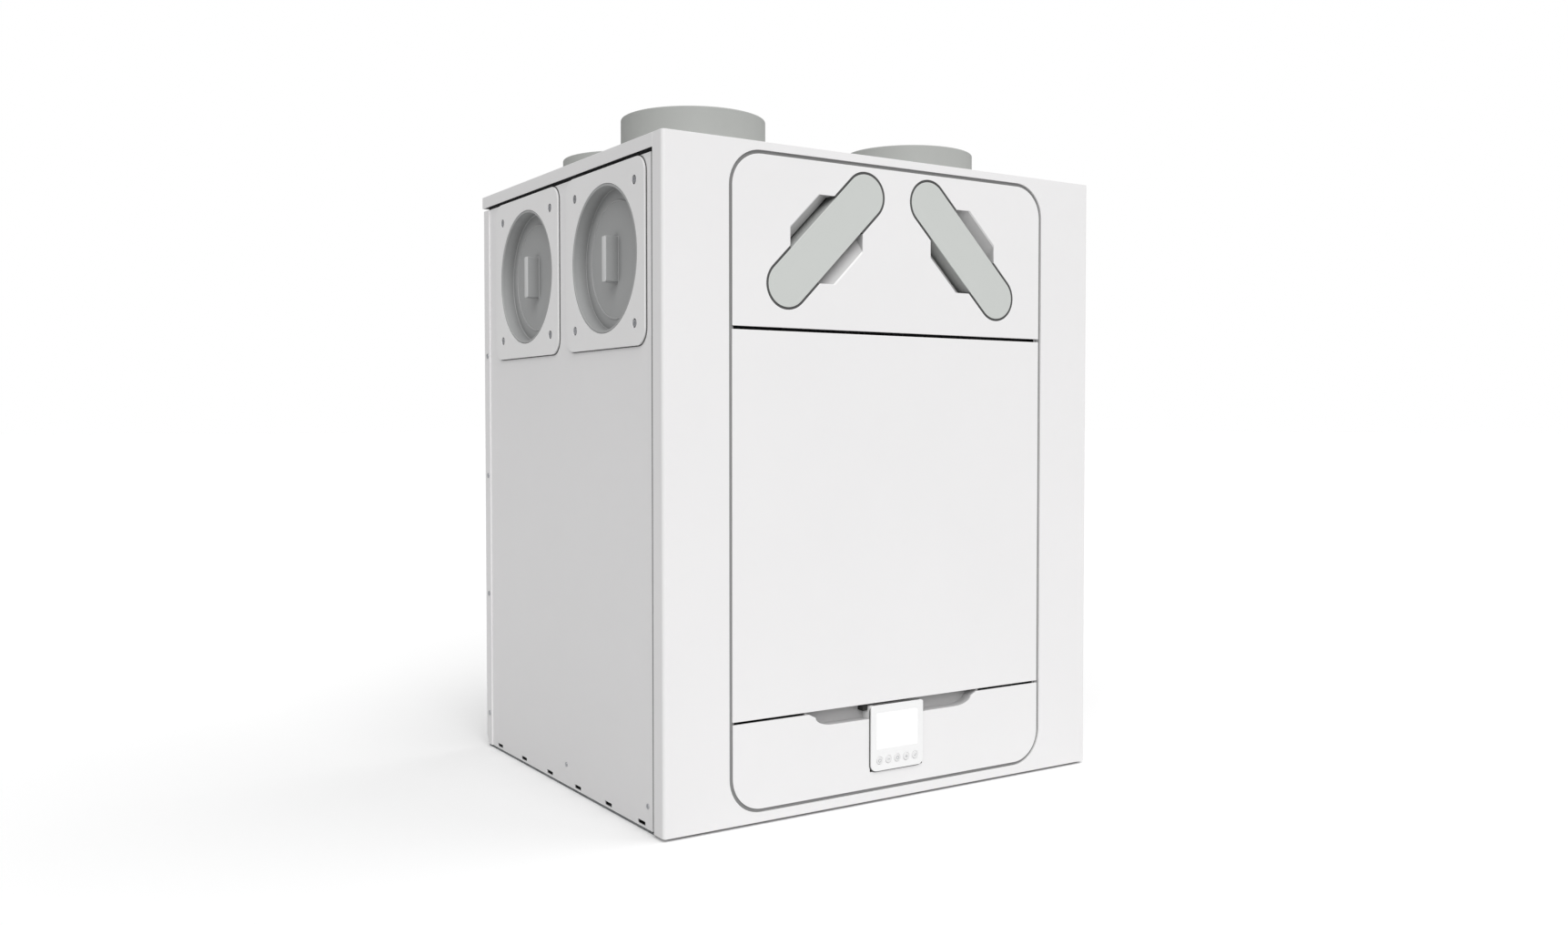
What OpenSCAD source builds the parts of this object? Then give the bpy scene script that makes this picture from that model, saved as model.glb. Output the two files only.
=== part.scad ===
// Mechanical ventilation unit with heat recovery.
// X runs to the right of the front, Y to the back and Z up; the origin is under the middle of the casing.
// Left-hand pieces are drawn and their right-hand twins are mirrored, unless a piece has a place of its own.

/* [Casing] */
// Width of the casing
case_w = 660; // [650:1:690]
// Depth of the casing, without the controller and the wall bracket
case_d = 556; // [548:1:580]
// Height of the casing, without the spigots
case_h = 800; // [796:1:820]
// Thickness of the steel sheet
sheet = 1.5; // [1.2:0.1:1.8]
// Depth of the front frame's side returns
frame_return = 24; // [20:1:28]
// Wall of the moulded front parts
front_wall = 3; // [2.5:0.1:3.5]
// Radius of the front frame's upright edges
frame_edge_r = 4.5; // [2:0.5:6]
// How far the side panels lie inside the casing's full width
side_inset = 3; // [2.5:0.1:4]
// Height of the lid's skirt
skirt_h = 16; // [14:1:18]

/* [Front panels] */
// Width between the middles of the groove's upright runs
groove_box_w = 483; // [478:1:488]
// Height of the groove's bottom run above the floor
groove_low = 17; // [15:1:20]
// Distance of the groove's top run below the casing's top
groove_top_margin = 12; // [11:1:13]
// Radius of the groove's corners
groove_r = 42; // [36:1:50]
// Width of the groove
groove_w = 4.5; // [3:0.5:5]
// Height of the joint between the upper panel and the service panel
joint_high = 583.3; // [580:0.1:586]
// Height of the joint between the service panel and the lower panel
joint_low = 123.5; // [122:0.1:126]
// Gap of the upper joint
joint_high_gap = 4; // [2:0.5:4]
// Gap of the lower joint
joint_low_gap = 3; // [2:0.2:3]
// Half width of the lower finger recess at its top
recess_top = 135; // [120:1:140]
// Half width of the lower finger recess at its bottom
recess_bottom = 111; // [100:1:115]
// Height of the lower finger recess below the joint
recess_h = 17.5; // [14:0.5:20]

/* [Filters and their covers] */
// Distance of a cover's middle from the unit's middle plane
cover_x = 106.3; // [104:0.1:110]
// Height of a cover's middle
cover_z = 693.2; // [690:0.1:694]
// Distance between the middles of a cover's round ends
cover_len = 160; // [150:1:160]
// Half width of a cover
cover_r = 27; // [25:0.5:27.5]
// Gap round a cover
cover_gap = 3; // [2:0.5:3]
// Depth of the finger pockets
pocket_depth = 22; // [16:1:22]
// Distance of a pocket's outer edge from the cover's long axis
pocket_reach = 46; // [42:1:48]
// Half length of a pocket's outer edge
pocket_half = 29; // [25:1:32]
// Depth of a filter, front to back
filter_depth = 230; // [200:1:230]
// Number of pleats in a filter
pleats = 18; // [10:1:22]

/* [Ducts] */
// Outer diameter of the duct spigots
duct_d = 180; // [160:1:180]
// Height of the spigots above the lid
spigot_h = 48.5; // [30:0.5:60]
// Distance of the front side ports behind the front face
port_front = 152; // [145:1:155]
// Distance between the side ports
port_pitch = 243.5; // [230:0.5:250]
// Height of the side ports
port_z = 671; // [660:1:672]
// Width and height of a port plate
port_plate = 217; // [200:1:219]
// Distance between a port plate's screws
port_screw_pitch = 165; // [160:1:170]
// Depth of a blanking cap's dish
cap_depth = 18; // [12:1:20]
// Height of a cap's grip rib
rib_h = 56; // [40:1:60]
// Width of a cap's grip rib
rib_w = 11; // [8:1:14]

/* [Controller] */
// Width of the controller
display_w = 82; // [76:1:90]
// Height of the controller's lower edge
display_low = 40; // [38:1:44]
// How far the controller stands proud of the front
display_proud = 2.5; // [2:0.1:2.5]
// Width of the screen
screen_w = 64; // [50:1:66]
// Distance between keys
key_pitch = 14; // [13:0.5:14]
// Radius of a key
key_r = 4.7; // [4:0.1:4.7]
// Travel of a key
key_travel = 0.8; // [0.5:0.1:1]

/* [Inside] */
// Half width of the heat exchanger
core_half = 210; // [190:1:212]
// Height of the heat exchanger's side faces
core_side = 180; // [150:1:200]
// Distance between the exchanger's plates
plate_pitch = 8; // [8:1:20]
// Radius of the fan impellers
impeller_r = 80; // [70:1:80]
// Number of impeller blades
blades = 22; // [12:1:28]
// Radius of the condensate drain's socket
drain_r = 16.2; // [16.1:0.1:16.4]

/* [Hidden] */

$fn = 64;
past = 1;
white = [0.93, 0.93, 0.92];
grey = [0.78, 0.79, 0.77];
dish_grey = [0.62, 0.63, 0.62];
spigot_grey = [0.70, 0.71, 0.69];
foam_black = [0.16, 0.16, 0.17];
zinc = [0.62, 0.63, 0.65];
board_green = [0.10, 0.35, 0.20];

half_w = case_w / 2;
half_d = case_d / 2;
front_y = -half_d;
panel_back = front_y + front_wall;
frame_back = front_y + frame_return;
side_face = -half_w + side_inset;
side_back = side_face + sheet;
floor_gap = 4;
side_top = case_h - skirt_h - 4;
frame_low = 3.5;
panel_joint = 9;
rear_y = half_d - 2;
bracket_y = half_d + 3;

// Levels of the front panels
groove_high = case_h - groove_top_margin;
upper_low = joint_high + joint_high_gap / 2;
service_high = joint_high - joint_high_gap / 2;
service_low = joint_low + joint_low_gap / 2;
lower_high = joint_low - joint_low_gap / 2;
recess_low = joint_low - recess_h;
recess_back = front_y + 16;
recess_roof = 138;

// Side slots and screws
slot_pitch = 89;
slot_first = front_y + 61;
slot_count = 6;
slot_len = 20;
slot_low = 6;
slot_high = 11;
upstand_h = 40;
base_screw_y = [front_y + 44, -5];
base_screw_z = 31;
rear_screw_z = [50, 225, 397, 570];
rear_screw_y = half_d - 14;
wrap_y = half_d - 21;
wrap_cut = 10;

// Ducts
duct_r = duct_d / 2;
port_y = [front_y + port_front, front_y + port_front + port_pitch];
port_tube = 30;
spigot_wall = 4;
neck_r = duct_r - 1.5;
lid_hole_r = duct_r - 1;
chamber_top = case_h - 24;
seat_gap = 0.3;
spigot_left_front_at = [-207.5, -130];
spigot_left_rear_at = [-160, 153];
spigot_right_front_at = [157, -99];
spigot_right_rear_at = [207, 130];
spigot_places = [
    spigot_left_front_at, spigot_left_rear_at,
    spigot_right_front_at, spigot_right_rear_at
];
gland_places = [[-20, 235], [40, 235]];
gland_bore_r = 5;

// Foam lining
foam_x = half_w - 8;
foam_front = front_y + 24.5;
liner_back = front_y + 16;
foam_back = half_d - 6;
foam_split = 576;
chamber_x = half_w - 30;
divider = [front_y + 266, front_y + 286];
riser_y = [100, half_d - 22];

// Filters
filter_len = 192;
filter_thick = 48;
filter_front = front_y + 34;
filter_border = 6;
opening_r = cover_r + cover_gap;
collar_back = front_y + 32;
media_amplitude = 19;

// Heat exchanger
core_y = [front_y + 32, front_y + 360];
core_z = 357;
core_peak = 215;
end_plate = 7;

// Fans
fan_x = -190;
fan_z = 200;
scroll_r = 88;
scroll_growth = 30;
scroll_y = [104, 210];
scroll_wall = 2.5;
inlet_r = 54;

// Bypass
flap_x = [234, 288];
flap_y = [-196, 36];
flap_z = 460;
bypass_outer_x = 294;

// Condensate tray and its drain
tray_low = [-294, -188, 41];
tray_high = [294, 76, 116];
drain_bore_r = 7;
socket_depth = 28;

// Controller
screen_low = 67;
screen_high = 112;
key_z = 53;
housing_front = front_y - display_proud;
housing_back = front_y + 15.7;
housing_wall = 2.2;
board_y = front_y + 10;
board_thick = 1.6;
switch_front = board_y - 1.1;
power_board_y = front_y + 64;

// ---------- shared shapes ----------

// Draws a flat shape given in X and Z, from y0 to y1
module slab(y0, y1) {
    translate([0, y1, 0]) rotate([90, 0, 0]) linear_extrude(y1 - y0) children();
}

// A box between two corners
module block(low, high) {
    translate(low) cube(high - low);
}

// A rectangle whose lower and upper corners are rounded, either radius may be 0
module soft_rectangle(x0, x1, z0, z1, low_r, high_r) {
    translate([x0, z0 + low_r]) square([x1 - x0, z1 - z0 - low_r - high_r]);
    if (low_r > 0) {
        translate([x0 + low_r, z0]) square([x1 - x0 - 2 * low_r, low_r + past / 10]);
        for (x = [x0 + low_r, x1 - low_r]) translate([x, z0 + low_r]) circle(low_r);
    }
    if (high_r > 0) {
        translate([x0 + high_r, z1 - high_r - past / 10])
            square([x1 - x0 - 2 * high_r, high_r + past / 10]);
        for (x = [x0 + high_r, x1 - high_r]) translate([x, z1 - high_r]) circle(high_r);
    }
}

// The outline of the three front panels together, grown outwards from the groove's middle line
module front_outline(grow) {
    soft_rectangle(-groove_box_w / 2 - grow, groove_box_w / 2 + grow,
        groove_low - grow, groove_high + grow, groove_r + grow, groove_r + grow);
}

// The part of the front outline between two levels
module panel_outline(low, high) {
    intersection() {
        front_outline(-groove_w / 2);
        translate([-half_w, low]) square([case_w, high - low]);
    }
}

// Puts flat shapes drawn along a cover's axes at the left cover's place
module at_cover() {
    translate([-cover_x, cover_z]) rotate(45) children();
}

// Puts solids drawn along the left filter's axes at its place: X along the cover, Z across it
module at_filter() {
    translate([-cover_x, 0, cover_z]) rotate([0, -45, 0]) children();
}

// A bar with round ends, as the covers and their openings have
module stadium(r) {
    square([cover_len, 2 * r], center = true);
    for (x = [-cover_len / 2, cover_len / 2]) translate([x, 0]) circle(r);
}

// The outline of the two finger pockets beside a cover, as one eight-sided shape
module pocket_shape(grow) {
    a = pocket_half + grow * (sqrt(2) - 1);
    b = pocket_reach + grow;
    polygon([[a, b], [b, a], [b, -a], [a, -b], [-a, -b], [-b, -a], [-b, a], [-a, b]]);
}

// The two finger pockets themselves, whose floors slope down towards the cover
module pocket_scoop(grow) {
    reach = pocket_reach + grow;
    deep = front_y + pocket_depth + grow;
    profile = [
        [reach, front_y - past],
        [reach, front_y],
        [cover_r, deep],
        [-cover_r, deep],
        [-reach, front_y],
        [-reach, front_y - past]
    ];
    intersection() {
        slab(front_y - past, deep) at_cover() pocket_shape(grow);
        at_filter() translate([-pocket_reach - grow - past, 0, 0]) rotate([0, 90, 0])
            linear_extrude(2 * (pocket_reach + grow + past)) polygon(profile);
    }
}

// Draws children on both sides of the middle plane
module both_sides() {
    children();
    mirror([1, 0, 0]) children();
}

// Puts children at a left port, with Z pointing into the casing and X pointing down
module at_port(y) {
    translate([-half_w, y, port_z]) rotate([0, 90, 0]) children();
}

// Puts children at each corner of a square
module at_corners(pitch) {
    for (x = [-pitch / 2, pitch / 2], y = [-pitch / 2, pitch / 2]) translate([x, y, 0]) children();
}

// ---------- front ----------

module front_frame() {
    step_out = 10.5;
    step_in = 6;
    ledge_y = [panel_back + 1.3, panel_back + 2.8];
    color(white) {
        difference() {
            translate([0, 0, frame_low]) linear_extrude(case_h - frame_low) {
                translate([-half_w + frame_edge_r, front_y]) square([case_w - 2 * frame_edge_r, frame_return]);
                translate([-half_w, front_y + frame_edge_r]) square([case_w, frame_return - frame_edge_r]);
                for (x = [-half_w + frame_edge_r, half_w - frame_edge_r])
                    translate([x, front_y + frame_edge_r]) circle(frame_edge_r);
            }
            block([-half_w + front_wall, panel_back, frame_low + front_wall],
                [half_w - front_wall, frame_back + past, case_h - front_wall]);
            slab(front_y - past, panel_back + past) front_outline(groove_w / 2);
        }
        slab(panel_back - past / 2, ledge_y[1]) difference() {
            front_outline(step_out);
            front_outline(step_in);
        }
        slab(ledge_y[0], ledge_y[1]) difference() {
            front_outline(step_out);
            front_outline(-step_in);
        }
    }
}

module front_seal() {
    color(grey) slab(panel_back + 0.1, panel_back + 1.3) difference() {
        front_outline(5.5);
        front_outline(-5);
    }
}

module upper_front_panel() {
    pocket_wall = 2;
    color(white) difference() {
        union() {
            slab(front_y, panel_back) panel_outline(upper_low, case_h);
            both_sides() {
                difference() {
                    pocket_scoop(pocket_wall);
                    block([-half_w, front_y - 2 * past, 0], [half_w, panel_back - past, case_h]);
                }
                slab(panel_back - past, collar_back) at_cover() stadium(opening_r + pocket_wall);
            }
        }
        both_sides() {
            slab(front_y - past, collar_back + past) at_cover() stadium(opening_r);
            pocket_scoop(0);
        }
    }
}

module service_panel() {
    lip = 13;
    lip_x = groove_box_w / 2 - 8.5;
    lip_low = recess_roof + 3;
    lip_high = service_high - 10;
    color(white) {
        slab(front_y, panel_back) panel_outline(service_low, service_high);
        slab(panel_back, panel_back + lip) difference() {
            translate([-lip_x, lip_low]) square([2 * lip_x, lip_high - lip_low]);
            translate([-lip_x + sheet, lip_low + sheet])
                square([2 * (lip_x - sheet), lip_high - lip_low - 2 * sheet]);
        }
    }
}

module service_panel_liner() {
    liner_x = groove_box_w / 2 - 11;
    grip_x = 75;
    color(foam_black) slab(panel_back + 0.2, liner_back) difference() {
        soft_rectangle(-liner_x, liner_x, recess_roof + 6, service_high - 12, 8, 8);
        for (z = [230, 480]) grip_slot(grip_x, z);
    }
}

// A flat slot with rounded corners through the liner
module grip_slot(half, z) {
    half_h = 12;
    corner = 10;
    soft_rectangle(-half, half, z - half_h, z + half_h, corner, corner);
}

// The lower finger recess seen from the front: sloping sides that end in round corners
module recess_shape(grow) {
    corner = 15;
    slope_x = recess_top - recess_bottom;
    points = [for (i = [0:6]) recess_corner(i / 6, corner, slope_x)];
    right = concat([[recess_top, recess_roof], [recess_top, joint_low]], points);
    left = [for (i = [len(right) - 1:-1:0]) [-right[i][0], right[i][1]]];
    outline = concat(right, left);
    polygon([for (p = outline) [p[0] + sign(p[0]) * grow, p[1] > joint_low ? p[1] + grow : p[1] - grow]]);
}

// A point of the recess's rounded lower corner, t runs from 0 on the slope to 1 on the bottom
function recess_corner(t, corner, slope_x) = [
    recess_bottom - corner + (corner + slope_x * 0.5) * cos(90 * t),
    recess_low + corner * 0.75 * (1 - sin(90 * t))
];

module lower_front_panel() {
    recess_wall = 2;
    cut_x = display_w / 2 + 0.4;
    color(white) difference() {
        union() {
            slab(front_y, panel_back) panel_outline(0, lower_high);
            slab(panel_back, recess_back + recess_wall) recess_shape(recess_wall);
        }
        slab(front_y - past, recess_back) recess_shape(0);
        block([-cut_x, front_y - past, display_low - 0.4], [cut_x, recess_back, lower_high + past]);
        block([-half_w, front_y - past, lower_high], [half_w, panel_back + 0.2, recess_roof + 5]);
    }
}

// ---------- controller ----------

module display_housing() {
    wall_back = housing_front + housing_wall;
    inner_x = display_w / 2 - housing_wall;
    color(white) difference() {
        slab(housing_front, housing_back)
            soft_rectangle(-display_w / 2, display_w / 2, display_low, lower_high, 8, 3);
        block([-inner_x, wall_back, display_low + housing_wall],
            [inner_x, housing_back + past, lower_high - housing_wall]);
        block([-screen_w / 2, housing_front - past, screen_low],
            [screen_w / 2, housing_front + 1, screen_high]);
        for (i = [-2:2]) translate([i * key_pitch, wall_back + past, key_z])
            rotate([90, 0, 0]) cylinder(r = key_r + 0.3, h = housing_wall + 2 * past);
    }
}

module display_screen() {
    gap = 0.2;
    color([0.98, 0.98, 0.98]) slab(housing_front + 0.1, housing_front + 1)
        soft_rectangle(-screen_w / 2 + gap, screen_w / 2 - gap,
            screen_low + gap, screen_high - gap, 1, 1);
}

module display_board() {
    board_x = display_w / 2 - 3.5;
    margin = 5;
    switch_half = 3;
    panel_half = 24;
    color(board_green) {
        block([-board_x, board_y, display_low + margin], [board_x, board_y + board_thick, lower_high - margin]);
        for (i = [-2:2]) block([i * key_pitch - switch_half, switch_front, key_z - switch_half],
            [i * key_pitch + switch_half, board_y + 0.1, key_z + switch_half]);
        block([-panel_half, board_y - 4, screen_low + 3], [panel_half, board_y + 0.1, screen_high - 4]);
    }
}

// One key, numbered from -2 on the left to 2 on the right
module key(place) {
    key_front = front_y - 3;
    flange_front = housing_front + housing_wall + 0.2;
    color(white) translate([place * key_pitch, 0, key_z]) rotate([-90, 0, 0]) {
        translate([0, 0, key_front]) cylinder(r = key_r, h = flange_front - key_front + past);
        translate([0, 0, flange_front]) cylinder(r = key_r + 1.1, h = 1.6);
        translate([0, 0, flange_front]) cylinder(r = 2, h = switch_front - key_travel - 0.1 - flange_front);
    }
}

module key_1() { key(-2); }
module key_2() { key(-1); }
module key_3() { key(0); }
module key_4() { key(1); }
module key_5() { key(2); }

// ---------- casing ----------

module side_panel() {
    joggle_y = [front_y + 16, frame_back + panel_joint + 2];
    color(white) difference() {
        union() {
            block([side_face, frame_back + panel_joint, floor_gap], [side_back, rear_y - 1.7, side_top]);
            block([side_back - sheet / 3, joggle_y[0], frame_low + front_wall + 0.5],
                [side_back + sheet, joggle_y[1], side_top]);
        }
        block([side_face - past, joggle_y[0] - past, 0], [side_back, frame_back + panel_joint, case_h]);
        for (y = port_y) at_port(y) {
            cylinder(r = duct_r + 3, h = 10);
            at_corners(port_screw_pitch) cylinder(r = 2.2, h = 10);
        }
        side_slots();
        side_screw_holes();
    }
}

module left_side_panel() { side_panel(); }
module right_side_panel() { mirror([1, 0, 0]) side_panel(); }

// The row of slots along the bottom edge of the left side
module side_slots() {
    for (i = [0:slot_count - 1]) {
        y = slot_first + i * slot_pitch;
        block([-half_w - past, y - slot_len / 2, slot_low], [side_back + 2 * sheet, y + slot_len / 2, slot_high]);
    }
}

// Clearance holes for the left side's screws
module side_screw_holes() {
    at_side_screws() cylinder(r = 1.8, h = 12);
}

// Puts children at each of the left side's small screws, with Z pointing into the casing
module at_side_screws() {
    for (y = base_screw_y) translate([side_face, y, base_screw_z]) rotate([0, 90, 0]) children();
    for (z = rear_screw_z) translate([side_face, rear_screw_y, z]) rotate([0, 90, 0]) children();
}

module rear_panel() {
    wrap_face = side_face - sheet;
    color(white) difference() {
        union() {
            block([wrap_face, rear_y - sheet, floor_gap], [-wrap_face, rear_y, side_top]);
            both_sides() block([wrap_face, wrap_y, floor_gap], [side_face, rear_y, side_top]);
        }
        both_sides() {
            translate([-half_w, rear_y, floor_gap]) rotate([45, 0, 0])
                cube([case_w / 3, wrap_cut * sqrt(2), wrap_cut * sqrt(2)], center = true);
            translate([-2 * sheet, 0, 0]) side_screw_holes();
        }
        block([-half_w, rear_y - 2 * sheet, 0], [half_w, rear_y + past, wrap_cut + floor_gap]);
    }
}

module top_panel() {
    skirt_low = case_h - skirt_h;
    color(white) difference() {
        block([-half_w, frame_back + 0.2, skirt_low], [half_w, half_d, case_h]);
        block([-half_w + sheet, frame_back - past, skirt_low - past],
            [half_w - sheet, half_d - sheet, case_h - sheet]);
        for (place = spigot_places) translate([place[0], place[1], skirt_low]) cylinder(r = lid_hole_r, h = 40);
        for (place = gland_places) translate([place[0], place[1], skirt_low]) cylinder(r = 10.2, h = 40);
    }
}

// A floor sheet with a rail riveted along each side and along the back; the rails are solids of their own
module base_tray() {
    tray_x = -side_back;
    tray_front = frame_back + 0.5;
    tray_back = rear_y - 2;
    upstand_front = frame_back + panel_joint + 3;
    floor_sheet = 2;
    rail_low = floor_sheet + 0.1;
    rail_back = tray_back - sheet - 0.2;
    foot_hole_r = 4.25;
    foot_hole = [270, 210];
    color(zinc) difference() {
        union() {
            block([-tray_x, tray_front, 0], [tray_x, tray_back, floor_sheet]);
            both_sides() block([-tray_x, upstand_front, rail_low], [-tray_x + sheet, rail_back, upstand_h]);
            block([-tray_x, tray_back - sheet, rail_low], [tray_x, tray_back, upstand_h]);
        }
        both_sides() {
            side_slots();
            side_screw_holes();
        }
        for (x = [-foot_hole[0], foot_hole[0]], y = [-foot_hole[1], foot_hole[1]])
            translate([x, y, -past]) cylinder(r = foot_hole_r, h = floor_sheet + 2 * past);
        at_drain() translate([0, 0, -past]) cylinder(r = drain_r + 4.5, h = floor_sheet + 2 * past);
    }
}

module wall_bracket() {
    rail_low = 726;
    rail_high = 772;
    rail_half = 290;
    rail_sheet = 2.5;
    rail_front = bracket_y - rail_sheet;
    hole_r = 4.25;
    hole_x = 250;
    hole_z = [rail_low + 8, rail_high - 8];
    color(zinc) difference() {
        union() {
            block([-rail_half, rail_front, rail_low], [rail_half, bracket_y, rail_high]);
            for (z = [rail_low - rail_sheet, rail_high])
                block([-rail_half, rear_y, z], [rail_half, bracket_y, z + rail_sheet]);
        }
        for (x = [-hole_x, hole_x], z = hole_z) translate([x, rear_y, z])
            rotate([-90, 0, 0]) cylinder(r = hole_r, h = 10);
    }
}

module rear_buffers() {
    buffer_x = 250;
    buffer_z = 60;
    buffer_r = 15;
    color([0.15, 0.15, 0.15]) for (x = [-buffer_x, buffer_x]) translate([x, rear_y, buffer_z])
        rotate([-90, 0, 0]) cylinder(r = buffer_r, h = bracket_y - rear_y);
}

// A screw that points along Z, with its head's top at 0
module screw(head_r, head_h, shank_r, length) {
    difference() {
        cylinder(r = head_r, h = head_h);
        translate([0, 0, -past]) cylinder(r = head_r * 0.45, h = past + head_h * 0.6, $fn = 6);
    }
    translate([0, 0, head_h]) cylinder(r = shank_r, h = length);
}

module casing_screws() {
    color(zinc) both_sides() {
        for (y = port_y) at_port(y) at_corners(port_screw_pitch)
            translate([0, 0, 0.2]) screw(4.2, 1.6, 2, 9);
        for (y = base_screw_y) translate([side_face - 1, y, base_screw_z])
            rotate([0, 90, 0]) screw(3, 1, 1.6, 5);
        for (z = rear_screw_z) translate([side_face - sheet - 1, rear_screw_y, z])
            rotate([0, 90, 0]) screw(3.5, 1, 1.6, 5);
    }
}

// ---------- ducts ----------

module side_port_plates() {
    half = port_plate / 2;
    color(white) both_sides() for (y = port_y) at_port(y) difference() {
        union() {
            linear_extrude(side_inset) soft_rectangle(-half, half, -half, half, 20, 20);
            cylinder(r = duct_r + 2.5, h = port_tube);
        }
        translate([0, 0, -past]) cylinder(r = duct_r, h = port_tube + 2 * past);
        at_corners(port_screw_pitch) {
            translate([0, 0, -past]) cylinder(r = 2.3, h = 10);
            translate([0, 0, -past]) cylinder(r = 5.5, h = past + 1.8);
        }
    }
}

// A blanking cap at a left port: a dish with a rib across it to pull it by
module blanking_cap(y) {
    cap_r = duct_r - 0.3;
    color(dish_grey) at_port(y) {
        difference() {
            cylinder(r = cap_r, h = cap_depth + 3);
            translate([0, 0, -past]) cylinder(r = cap_r - 3.2, h = cap_depth + past);
        }
        translate([0, 0, 1]) linear_extrude(cap_depth)
            soft_rectangle(-rib_h / 2, rib_h / 2, -rib_w / 2, rib_w / 2, 2, 2);
    }
}

module cap_left_front() { blanking_cap(port_y[0]); }
module cap_left_rear() { blanking_cap(port_y[1]); }
module cap_right_front() { mirror([1, 0, 0]) blanking_cap(port_y[0]); }
module cap_right_rear() { mirror([1, 0, 0]) blanking_cap(port_y[1]); }

// A duct spigot: a neck through the lid and a plain collar above it
module spigot(place) {
    bore_r = duct_r - spigot_wall;
    top = case_h + spigot_h;
    seat = case_h + seat_gap;
    color(spigot_grey) translate([place[0], place[1], 0]) rotate_extrude($fn = 96) polygon([
        [bore_r, chamber_top],
        [neck_r, chamber_top],
        [neck_r, seat],
        [duct_r, seat],
        [duct_r, top - 1],
        [duct_r - 1, top],
        [bore_r + 1, top],
        [bore_r, top - 1]
    ]);
}

module spigot_left_front() { spigot(spigot_left_front_at); }
module spigot_left_rear() { spigot(spigot_left_rear_at); }
module spigot_right_front() { spigot(spigot_right_front_at); }
module spigot_right_rear() { spigot(spigot_right_rear_at); }

module cable_glands() {
    thread_r = 10;
    thread_low = -14;
    nut_r = 14;
    nut_h = 5;
    flange_h = 6;
    dome_r = 12.5;
    dome_top = [16, 22];
    color([0.2, 0.2, 0.2]) for (place = gland_places) translate([place[0], place[1], case_h]) difference() {
        union() {
            translate([0, 0, thread_low]) cylinder(r = thread_r, h = 2 - thread_low);
            translate([0, 0, -sheet - nut_h]) cylinder(r = nut_r, h = nut_h, $fn = 6);
            cylinder(r = nut_r, h = flange_h, $fn = 6);
            translate([0, 0, flange_h]) cylinder(r = dome_r, h = dome_top[0] - flange_h);
            translate([0, 0, dome_top[0]]) cylinder(r1 = dome_r, r2 = 9, h = dome_top[1] - dome_top[0]);
        }
        translate([0, 0, thread_low - past]) cylinder(r = gland_bore_r, h = 40);
    }
}

// ---------- filters ----------

module filter_cover() {
    color(grey) difference() {
        slab(front_y, front_y + 31) at_cover() stadium(cover_r);
        slab(front_y + 3, front_y + 31 + past) at_cover() stadium(cover_r - 2.5);
    }
}

module cover_seal() {
    color([0.25, 0.25, 0.25]) slab(front_y + 25, front_y + 29) at_cover() difference() {
        stadium(opening_r - 0.4);
        stadium(cover_r);
    }
}

module filter_frame() {
    half_len = filter_len / 2;
    half_thick = filter_thick / 2;
    filter_back = filter_front + filter_depth;
    tab_half = 20;
    tab_reach = 15;
    grip_half = 13;
    color([0.85, 0.85, 0.83]) at_filter() {
        difference() {
            block([-half_len, filter_front, -half_thick], [half_len, filter_back, half_thick]);
            block([-half_len + filter_border, filter_front + filter_border, -half_thick - past],
                [half_len - filter_border, filter_back - filter_border, half_thick + past]);
        }
        difference() {
            block([-tab_half, filter_front - tab_reach, -1], [tab_half, filter_front + past, 1]);
            block([-grip_half, filter_front - tab_reach + 4, -2], [grip_half, filter_front - 5, 2]);
        }
    }
}

module filter_media() {
    half_len = filter_len / 2 - filter_border - 0.3;
    step = 2 * half_len / pleats;
    wool = 1.6;
    zigzag = [for (i = [0:pleats]) [-half_len + i * step, (i % 2 == 0 ? -1 : 1) * media_amplitude]];
    lower = [for (i = [pleats:-1:0]) [zigzag[i][0], zigzag[i][1] - 2 * wool]];
    y0 = filter_front + filter_border + 0.3;
    y1 = filter_front + filter_depth - filter_border - 0.3;
    color([0.95, 0.95, 0.93]) at_filter() slab(y0, y1) translate([0, wool]) polygon(concat(zigzag, lower));
}

module filter_cover_left() { filter_cover(); }
module filter_cover_right() { mirror([1, 0, 0]) filter_cover(); }
module cover_seal_left() { cover_seal(); }
module cover_seal_right() { mirror([1, 0, 0]) cover_seal(); }
module filter_frame_left() { filter_frame(); }
module filter_frame_right() { mirror([1, 0, 0]) filter_frame(); }
module filter_media_left() { filter_media(); }
module filter_media_right() { mirror([1, 0, 0]) filter_media(); }

// ---------- heat exchanger ----------

// The exchanger's six-sided outline, grown outwards all round
module core_shape(grow) {
    w = core_half + grow;
    s = core_side / 2 + grow / 2;
    p = core_peak + grow * 1.15;
    translate([0, core_z]) polygon([[0, p], [-w, s], [-w, -s], [0, -p], [w, -s], [w, s]]);
}

module exchanger_plates() {
    count = floor((core_y[1] - core_y[0] - 2 * end_plate - 4) / plate_pitch);
    color([0.75, 0.78, 0.80]) for (i = [0:count])
        translate([0, core_y[0] + end_plate + 1 + i * plate_pitch, 0]) slab(0, 1.2) core_shape(-14);
}

module exchanger_frame() {
    rail_r = 5;
    w = core_half - rail_r - 1;
    p = core_peak - rail_r - 2;
    color([0.35, 0.37, 0.40]) {
        for (y = [core_y[0], core_y[1] - end_plate]) slab(y, y + end_plate) core_shape(0);
        for (place = [[0, p], [0, -p], [w, core_side / 2], [w, -core_side / 2], [-w, core_side / 2],
            [-w, -core_side / 2]]) translate([place[0], core_y[0] + 1, core_z + place[1]])
                rotate([-90, 0, 0]) cylinder(r = rail_r, h = core_y[1] - core_y[0] - 2);
    }
}

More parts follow.
